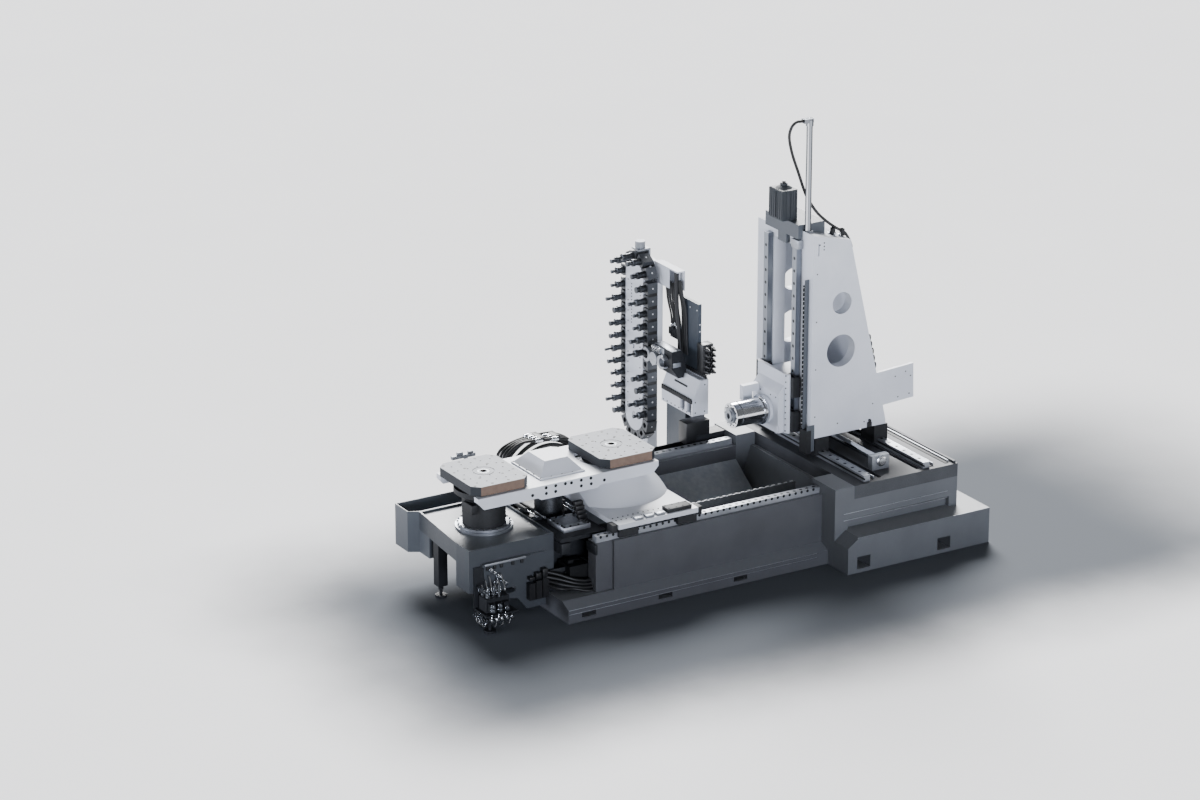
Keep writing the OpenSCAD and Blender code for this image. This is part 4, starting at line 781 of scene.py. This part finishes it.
# %% [markdown]
# ## Valve stack and its lines behind the shuttle
# The gripper is worked by a stack of small valves on the panel's far edge. Black air lines drop to it
# from the duct, each ending in a bright push-in union. Lines that are held at both ends by unions keep
# one fixed shape, so they are plain bent pipes and not loose cords.

# %% Valves, unions and air lines
stack = [block("valve_rail", (-1430, 2292, 1262), (-1262, 2328, 1292), 2)]
for k in range(6):
    stack.append(block("valve", (-1424 + 27 * k, 2272, 1292), (-1402 + 27 * k, 2322, 1356 + 8 * (k % 3)), 2))
stack.append(block("valve_arm", (-1330, 2300, 1180), (-1262, 2322, 1262), 2))
group("gripper_valve_stack", stack, "machine_bed", dark_enamel)
union = turned("union", [(-2, 11), (10, 11), (11, 13), (20, 13), (21, 9), (26, 8)], 12)
union_places, air_lines = [], []
for k in range(6):
    x = -1413 + 27 * k
    top_z = 1356 + 8 * (k % 3)
    union_places.append(((x, 2297, top_z), up))
    sway = 10 * math.sin(2.1 * k)
    air_lines.append(pipe("air_line", [(x, 2297, top_z + 18), (x + sway, 2288, top_z + 110),
                                       (x - 10 + sway, 2262, 1600), (x - 30, 2258, 1760)], 17, 3))
spread(union, "valve_unions", union_places, "machine_bed", hard_chrome)
group("air_lines", air_lines, "machine_bed", sleeve_nylon)
trunk = [pipe("trunk_cable", [(-1262 + 14 * k, 2262 + 5 * (k % 2), 1800), (-1258 + 16 * k, 2270, 1700),
                              (-1240 + 20 * k, 2286, 1560), (-1236 + 22 * k, 2290, 1340 - 30 * (k % 3)),
                              (-1225 + 22 * k, 2289, 1180)], 15, 3) for k in range(4)]
group("panel_cables", trunk, "machine_bed", sleeve_nylon)

# %% [markdown]
# ## Strips and screws of the shuttle's guide
# The guide is a light casting with two dark rack strips along its sloping top. Both are drilled at an
# even pitch, which shows as a dotted line.

# %% Guide strips
slope = [block("rack_strip", (-1322, 2291, 1058), (-858, 2298, 1072), 1),
         block("rack_strip", (-1322, 2140, 868), (-858, 2152, 898), 1)]
group("guide_rack_strips", slope, "machine_bed", oxide_steel)
guide_places = [((x, 2142, 891), front) for x in range(-1305, -860, 29)]
guide_places += [((x, 2288, 1060), up) for x in range(-1310, -860, 29)]
guide_places += [((x, 2150, 778), front) for x in range(-1300, -860, 60)]
guide_places += [((-850, y, z), near) for y, z in ((2175, 790), (2265, 790), (2265, 1020), (2175, 880))]
spread(small_screw, "guide_screws", guide_places, "machine_bed", oxide_steel)

# %% [markdown]
# ## Links between the pots
# Seen from the side, a dark rounded link bridges each gap of the chain. One link is a flat bar whose
# corners are rounded until it looks like a lens.

# %% Dark links
mx, my = middle
link = block("link", (mx - 44, my - 15, -4), (mx + 44, my + 15, 4), 0)
rounded(link, 3.5)
runs = [((chain_x + side * (chain_r + 36), 2147, low_z + (i + offset) * pitch), near if side > 0 else far)
        for side, offset in ((1, 1.0), (-1, 0.5)) for i in range(10)]
spread(link, "pot_links", runs, "machine_bed", hose_rubber)

# %% [markdown]
# ## Cylinders and blocks on the deck
# Between the loading station and the table lie the cylinders of the changer: dark tubes with chromed
# rods along the deck, and a light milled block with its bolt heads at the near side.

# %% Cylinders, rods and the milled block
tube_shape = [(0, 15), (2, 19), (18, 19), (20, 16), (300, 16), (302, 19), (322, 19), (324, 12), (330, 12)]
cylinder = turned("cylinder", tube_shape, 20)
rod = turned("rod", [(0, 7), (140, 7), (142, 11), (168, 11), (170, 9)], 14)
axis_z, rows = 646, (100, 142, 440, 400)
deck_tubes = [((x, y, axis_z), near) for x, y in zip((-330, -300, -330, -290), rows)]
deck_rods = [((x, y, axis_z), near) for x, y in zip((0, 30, 0, 40), rows)]
spread(cylinder, "deck_cylinders", deck_tubes, "machine_bed", oxide_steel)
spread(rod, "deck_rods", deck_rods, "machine_bed", hard_chrome)
saddles = [block("rest", (x - 12, y - 22, 599), (x + 12, y + 22, 634), 2)
           for y in (100, 142, 400, 440) for x in (-240, -80, 110)]
group("cylinder_rests", saddles, "machine_bed", dark_enamel)
milled = block("milled", (205, 160, 599), (455, 400, 640), 0)
pressed(milled, lambda spot, normal: normal.z > 0.9, [(30, (0, 0, -12)), (20, (0, 0, 14))])
fit(rounded(milled, 2), "machine_bed", block_steel)
block_places = [((x, y, 640), up) for x in (220, 280, 340, 400, 440) for y in (172, 388)]
block_places += [((x, y, 640), up) for x in (220, 440) for y in (230, 300)]
spread(side_screw, "milled_block_screws", block_places, "machine_bed", oxide_steel)

# %% [markdown]
# ## Pipes and unions of the hydraulic unit
# The hydraulic unit at the near front corner is a cluster of bright unions and short bent pipes. Each
# union is a lathe part with a waist. They stand on the manifold's top, near and under faces, and bent
# pipes join them to the side panel.

# %% Unions and bent pipes
nut = turned("nut", [(-2, 14), (9, 14), (10, 19), (22, 19), (23, 12), (30, 12), (31, 16), (40, 16), (41, 10)], 6)
nut_places, bent = [], []
x0, y0, _ = drawing_box("hydraulic_manifold")[0]
for k in range(5):
    nut_places.append(((x0 + 55 + 18 * k, y0 + 55 + 34 * (k % 4), 260), up))
    nut_places.append(((x0 + 190, y0 + 50 + 62 * (k % 3), 185 + 30 * (k // 3)), near))
    nut_places.append(((x0 + 60 + 28 * k, y0 + 60 + 26 * k, 140), (0, 0, -1)))
for k in range(6):
    y = y0 + 40 + 34 * k
    bent.append(pipe("bent", [(x0 + 12, y + 10, 330 + 26 * (k % 3)), (x0 + 44, y + 8, 345 + 26 * (k % 3)),
                              (x0 + 66 + 8 * k, y + 4, 318), (x0 + 70 + 8 * k, y + 4, 268)], 11, 3))
for k in range(4):
    y = y0 + 66 + 40 * k
    bent.append(pipe("bent", [(x0 + 60 + 30 * k, y, 136), (x0 + 64 + 30 * k, y + 4, 92),
                              (x0 + 100 + 22 * k, y + 30, 74), (x0 + 120 + 18 * k, y + 58, 92),
                              (x0 + 122 + 18 * k, y + 60, 134)], 11, 3))
spread(nut, "hydraulic_unions", nut_places, "machine_bed", hard_chrome)
group("hydraulic_pipes", bent, "machine_bed", hard_chrome)
panel_nuts = [((459, y, z), near) for y, z in ((-470, 412), (-440, 380), (-400, 330), (-374, 309), (-500, 440),
                                               (-455, 330))]
spread(nut, "side_panel_unions", panel_nuts, "machine_bed", hard_chrome)
ledge_clamps = [block("clamp", (459, y - 12, 442), (476, y + 12, 477), 3) for y in (-520, -460, -400, -300, -220)]
group("ledge_clamps", ledge_clamps, "machine_bed", oxide_steel)

# %% [markdown]
# ## Worn edges of the beds
# A thin bright line runs along each ledge of the two beds: a painted highlight where the edges catch
# the light. The foot of the long bed has two such lines, the foot of the cross bed one, and the recess
# in its side two more.

# %% Painted highlight lines
# Each strip is a painted highlight on an edge.
edges = [block("edge", (792, 4, 107), (798, 2280, 111), 1), block("edge", (795, 4, 74), (799, 2280, 77), 1),
         block("edge", (1072, 2475, 291), (1079.8, 3745, 296), 1), block("edge", (862, 2470, 428), (888, 3470, 433), 1),
         block("edge", (862, 2470, 372), (888, 3470, 377), 1)]
group("painted_edge_highlights", edges, "machine_bed", block_steel)

# %% [markdown]
# ## Clips along the trough
# The chute sheet in the trough is held along its upper edge by a long row of bright clips, which shows
# as a dotted line. Black plugs close the holes of the near rail, and a black box for the wires stands
# on the far wall. The table's shoes end in black wipers, and its near side carries machined pads.

# %% Dotted line, plugs, box, wipers and pads
dashes = [block("dash", (299, y, 539.5), (312, y + 30, 546), 1) for y in range(1240, 2360, 58)]
group("trough_edge_clips", dashes, "machine_bed", signal_white)
rail_side = drawing_box("z_rails")[1][0]
rail_dots = [((rail_side, y, 600), near) for y in range(362, 2370, 56)]
spread(socket, "rail_side_plugs", rail_dots, "machine_bed", black_enamel)
fit(block("wall_terminal_box", (-845, 2012, 580.5), (-724, 2236, 765), 4), "machine_bed", box_plastic)
wipers = [block("wiper", (605, y, 618), (694, y + 46, 683), 4) for y in (456, 1222)]
wipers.append(block("wiper", (596, 958, 684), (692, 1176, 716), 4))
group("saddle_wipers", wipers, "table_saddle", oxide_steel)
pads = [block("pad", (640, 664 + 98 * k, 684), (690, 738 + 98 * k, 702), 3) for k in range(3)]
group("saddle_pads", pads, "table_saddle", block_steel)
saddle_places = [((x, y, 685), up) for x in (568, 620) for y in range(530, 950, 46)]
saddle_places += [((x, y, 716), up) for x in (612, 676) for y in (975, 1040, 1100, 1160)]
spread(small_screw, "saddle_edge_screws", saddle_places, "table_saddle", oxide_steel)

# %% [markdown]
# ## Hoses between the frame and the bed
# Behind the near side panel a bunch of black hoses runs to the front of the long bed. All of them are
# held at both ends, so each is a fixed bent pipe.

# %% Fixed hoses, clamp of the hub and plate at the column's foot
bunch = [pipe("bunch", [(470 + 26 * (k % 2), -30 + 6 * k, 330 - 36 * k), (520 + 20 * k, 60, 306 - 34 * k),
                        (580 + 14 * (k % 3), 170, 262 - 26 * k), (592 + 12 * k, 260, 236 - 24 * k),
                        (590 + 14 * k, 322, 232 - 24 * k)], 26, 4) for k in range(4)]
group("frame_hoses", bunch, "machine_bed", hose_rubber)
plates = [block("plate", (470, 20, 120), (474, 300, 330), 1), block("plate", (560, 300, 470), (696, 320, 552), 3),
          block("plate", (400, 79, 470), (560, 160, 560), 4)]
group("hose_brackets", plates, "machine_bed", dark_enamel)
fit(block("hub_clamp", (10, -478, 772), (150, -425, 850), 6), "station", oxide_steel)
fit(block("column_foot_plate", (199, 2564, 712), (206, 2636, 935), 2), "column_unit", sheet_enamel)
lug_parts = [block("lug", (198, 3148, 815), (214, 3190, 860), 4), block("lug", (198, 3160, 856), (222, 3178, 884), 3)]
group("column_lug", lug_parts, "column_unit", oxide_steel)
roof_fittings = [((60 + 30 * (k % 2), 2840 + 26 * k, 2462 - 6 * k), up) for k in range(4)]
spread(union, "roof_unions", roof_fittings, "column_unit", hard_chrome)

# %% [markdown]
# ## Lines of the pallet clamps on the far side
# Beside the long bed black lines rise from a shelf and lean over towards the changer, with bright
# unions and two small valve bodies in their middle.

# %% Rising lines with unions
line_x = (-872, -830, -790, -752)
rising = [pipe("rising", [(x, 330, 518), (x, 318 + 8 * k, 700), (x + 4, 352, 812), (x + 8, 470, 866 + 8 * k),
                          (x + 8, 640, 884), (x + 6, 860, 858), (x + 4, 1000, 770), (x, 1068, 640),
                          (x, 1080, 518)], 24, 4) for k, x in enumerate(line_x)]
group("clamp_lines", rising, "machine_bed", hose_rubber)
sleeve_nut = turned("sleeve_nut", [(-34, 14), (-32, 18), (-12, 18), (-10, 22), (10, 22), (12, 18), (32, 18),
                                  (34, 14)], 12)
line_nuts = [((x + 8, y, 884 - 0.1 * (y - 640)), (0, 1, -0.1)) for x in line_x
             for y in (600 + 0.3 * (x + 872), 720 + 0.5 * (x + 872))]
spread(sleeve_nut, "clamp_line_unions", line_nuts, "machine_bed", hard_chrome)
bodies = [block("body", (-884, 636, 876), (-740, 690, 906), 3), block("body", (-870, 776, 868), (-752, 836, 892), 3)]
group("clamp_valve_bodies", bodies, "machine_bed", dark_enamel)
sensor = [block("sensor", *corners) for corners in (
    ((-722, -60, 560), (-715, -24, 902), 1), ((-738, -170, 884), (-704, 40, 912), 4),
    ((-734, -120, 912), (-708, -70, 936), 3), ((-734, -20, 912), (-708, 20, 930), 3))]
group("clamp_sensor", sensor, "machine_bed", zinc_sheet)

# %% [markdown]
# ## Details of the cross bed and the frame
# The screw of the column drive ends in a round flange. Beside each cross rail lies a thin bright strip,
# the rails' front sides have a dark groove for the rollers, and a dark channel with a bright edge
# follows the rear of the plate. The frame has two slots in its near side and a light bar over the
# hydraulic unit. Each is a small block of its own.

# %% Flange, strips, channel, slots and bar
screw_end = drawing_box("screw_bearings")[1][0]
flange = turned("flange", [(0.3, 40), (3, 44), (16, 44), (18, 41), (18, 26), (8, 24)], 32)
spread(flange, "screw_end_flange", [((screw_end, 2955.5, 724), near)], "machine_bed", hard_chrome)
strips = [block("strip", (-860, y, 650.3), (820, y + 11, z), 1) for y, z in ((2787, 672), (3360, 672), (3508, 664))]
group("way_strips", strips, "machine_bed", block_steel)
channels = [block("channel", (-860, y, 650.3), (840, y + 34, 654), 0.5) for y in (2740, 3313, 3470)]
rail_front = drawing_box("x_rails")[0][1]
channels += [block("groove", (-866, y - 0.8, 668), (866, y + 1, 685), 0.5) for y in (rail_front, rail_front + 573)]
channels += [block("slot", (444, y - 8, 332), (447, y + 8, 378), 1) for y in (-126, -48)]
group("dark_channels_and_slots", channels, "machine_bed", oxide_steel)
fit(block("valve_plate", (445.5, -508, 330), (456, -345, 468), 2), "machine_bed", zinc_sheet)
fit(block("hydraulic_bar", (452, -551, 479), (480, -190, 497), 2), "machine_bed", block_steel)
backs = [block("back", (x, 2185, 787), (x + 62, 2188, 868), 0.5) for x in (-1038, -938)]
group("guide_window_backs", backs, "machine_bed", slate_enamel)
teeth = [block("tooth", (x, 2286, 1072), (x + 15, 2297, 1090), 1) for x in range(-1318, -860, 29)]
teeth += [block("tooth", (x, 2138, 896), (x + 14, 2149, 910), 1) for x in range(-1318, -860, 29)]
teeth.append(block("groove", (-1180, 2180, 968), (-990, 2188, 982), 1))
group("guide_teeth", teeth, "machine_bed", oxide_steel)

# %% [markdown]
# ## Cable chain, box tops and more lines
# A black chain of flat links carries the changer's lines from the frame down into the bed. The three
# terminal boxes have tops of different height, more bright unions and six loops of pipe hang round
# the hydraulic unit, and a dark strip of painted shade lies in the crease at the foot of the bed's side.

# %% Chain links, tops, loops and painted crease shade
chain = [block("chain_link", (328, 312 + 10.5 * k, 764 - 38 * k), (372, 388 + 10.5 * k, 798 - 38 * k), 6)
         for k in range(9)]
group("cable_chain", chain, "machine_bed", box_plastic)
low, high = drawing_box("terminal_boxes")
wide = (high[1] - low[1]) / 3
tops = [block("top", (low[0], low[1] + wide * k + 6, high[2] + 0.3),
              (high[0] - 2, low[1] + wide * (k + 1) - 6, high[2] + 26 + 24 * k), 3) for k in range(3)]
group("terminal_box_tops", tops, "machine_bed", box_plastic)
more_nuts = [((x0 + 24 + 34 * k, y0 + 24, 96 + 22 * (k % 2)), front) for k in range(5)]
more_nuts += [((x0 + 196, y0 + 40 + 44 * k, 120), (1, 0, -0.6)) for k in range(5)]
more_nuts += [((x0 + 40 + 40 * k, y0 + 30, 300), (0.2, -0.3, 1)) for k in range(3)]
spread(nut, "outer_unions", more_nuts, "machine_bed", hard_chrome)
loops = [pipe("loop", [(x0 + x, y0 + y + 60 * k, z) for x, y, z in (
    (204, 50, 150), (208, 40, 96), (200, 60, 56), (190, 90, 62), (192, 104, 118))], 12, 3) for k in range(3)]
loops += [pipe("loop", [(x0 + x + 44 * k, y0 + y, z) for x, y, z in (
    (40, 14, 96), (44, 3, 60), (62, 8, 44), (78, 16, 66), (80, 24, 108))], 12, 3) for k in range(3)]
group("outer_loops", loops, "machine_bed", hard_chrome)
# A dark strip where the bed's side meets its foot: painted shade in the crease.
fit(block("bed_side_crease_shade", (700.2, 20, 110.3), (711, 2380, 119), 1), "machine_bed", black_enamel)

# %% [markdown]
# ## Trim of the tool shuttle
# The shuttle carries a light sheet on its top, a milled plate beside its pivot and a row of unions for
# the gripper's air. They ride with it.

# %% Sheet, plate and unions of the shuttle
trim = [block("trim", *corners, 1) for corners in (
    ((-1362, 2099, 1255.3), (-1090, 2186, 1259)), ((-1363, 2089.6, 1192), (-1232, 2094.7, 1250)),
    ((-1230, 2089.6, 1114), (-1204, 2094.7, 1250)), ((-1084.7, 2104, 1120), (-1080, 2180, 1158)))]
group("shuttle_trim", trim, "shuttle", block_steel)
union_places = [((x, 2092, z), front) for x in (-1352, -1322, -1290, -1256) for z in (1205, 1236)]
spread(union, "shuttle_unions", union_places, "shuttle", hard_chrome)

# %% [markdown]
# ## Clearing the bench
# The patterns of screws, plugs and bushes have done their work. They are not part of the machine, so
# they are taken away.

# %% Take the patterns away
for pattern in (side_screw, small_screw, arm_screw, ring_head, bush, socket, plug, strip_stud, collar, boot, union,
                link, cylinder, rod, nut, sleeve_nut, flange):
    bpy.data.objects.remove(pattern)
print("fitted pieces:", len(fitted))

# %% [markdown]
# ## Floor and light
# The picture shows the machine on white, lit from behind and above: bright tops, grey sides, and a
# shadow that falls towards the viewer. One wide light stands behind on the far side. Two weak lights
# lie level with the floor, so that they reach the walls of the machine and not the floor. The shadow
# in the picture is darker and longer than this light makes it, so a painted shadow also darkens the
# floor's colour in front of the machine, with soft borders that a cloud pattern makes uneven.

# %% Floor
bpy.ops.mesh.primitive_plane_add(size=400, location=(0, 0, 0))
floor = bpy.context.object
floor.name = "floor"
pale = empty_material("pale_floor_with_painted_shadow")
marks = add(pale, "TexNoise", {"Vector": add(pale, "TexCoord").outputs["Object"], "Scale": 0.8, "Detail": 4.0})
spot = add(pale, "SeparateXYZ", {0: add(pale, "TexCoord").outputs["Object"]}).outputs
sway = add(pale, "Math", {0: marks.outputs["Fac"], 1: 0.5}, operation="MULTIPLY").outputs[0]
# The dark share below is a painted shadow round the machine.
dark = None
for axis, clear, full in (("X", 4.0, 2.5), ("X", -1.6, 0.3), ("Y", -4.1, -2.3), ("Y", 6.4, 3.4)):
    moved = add(pale, "Math", {0: spot[axis], 1: sway}, operation="ADD").outputs[0]
    share = stretch(pale, moved, (clear, full), interpolation_type="SMOOTHSTEP")
    dark = share if dark is None else add(pale, "Math", {0: dark, 1: share}, operation="MULTIPLY").outputs[0]
dark = add(pale, "Math", {0: dark, 1: 0.96}, operation="MULTIPLY").outputs[0]
floor_colour = blend(pale, dark, blend(pale, marks.outputs["Fac"], "#fafafb", "#f4f4f6"), "#4b5159")
floor.data.materials.append(finished(pale, {"Base Color": floor_colour, "Roughness": 0.8, "Specular IOR Level": 0.1}))


# %% Lights
def sky_light(name, direction, spread, strength, colour="#ffffff"):
    """Even light from a wide patch of sky: parallel, softened by its spread in degrees."""
    lamp = bpy.data.objects.new(name, bpy.data.lights.new(name, "SUN"))
    bpy.context.scene.collection.objects.link(lamp)
    lamp.data.energy = strength
    lamp.data.angle = math.radians(spread)
    lamp.data.color = tone(colour)[:3]
    lamp.location = Vector(direction) * 10
    lamp.rotation_euler = (-Vector(direction)).to_track_quat("-Z", "Y").to_euler()
    return lamp


sky_light("skylight_behind", (-1.5, 0.7, 1.15), 30, 10.5)
sky_light("front_wall_light", (-0.35, -1.0, 0.0), 24, 3.7, "#e9efff")
sky_light("near_wall_light", (1.0, -0.25, 0.0), 24, 4.2, "#eaf0ff")
world = bpy.data.worlds.new("white_hall")
bpy.context.scene.world = world
world.use_nodes = True
world.node_tree.nodes["Background"].inputs["Color"].default_value = tone("#f4f5f7")
world.node_tree.nodes["Background"].inputs["Strength"].default_value = 0.22
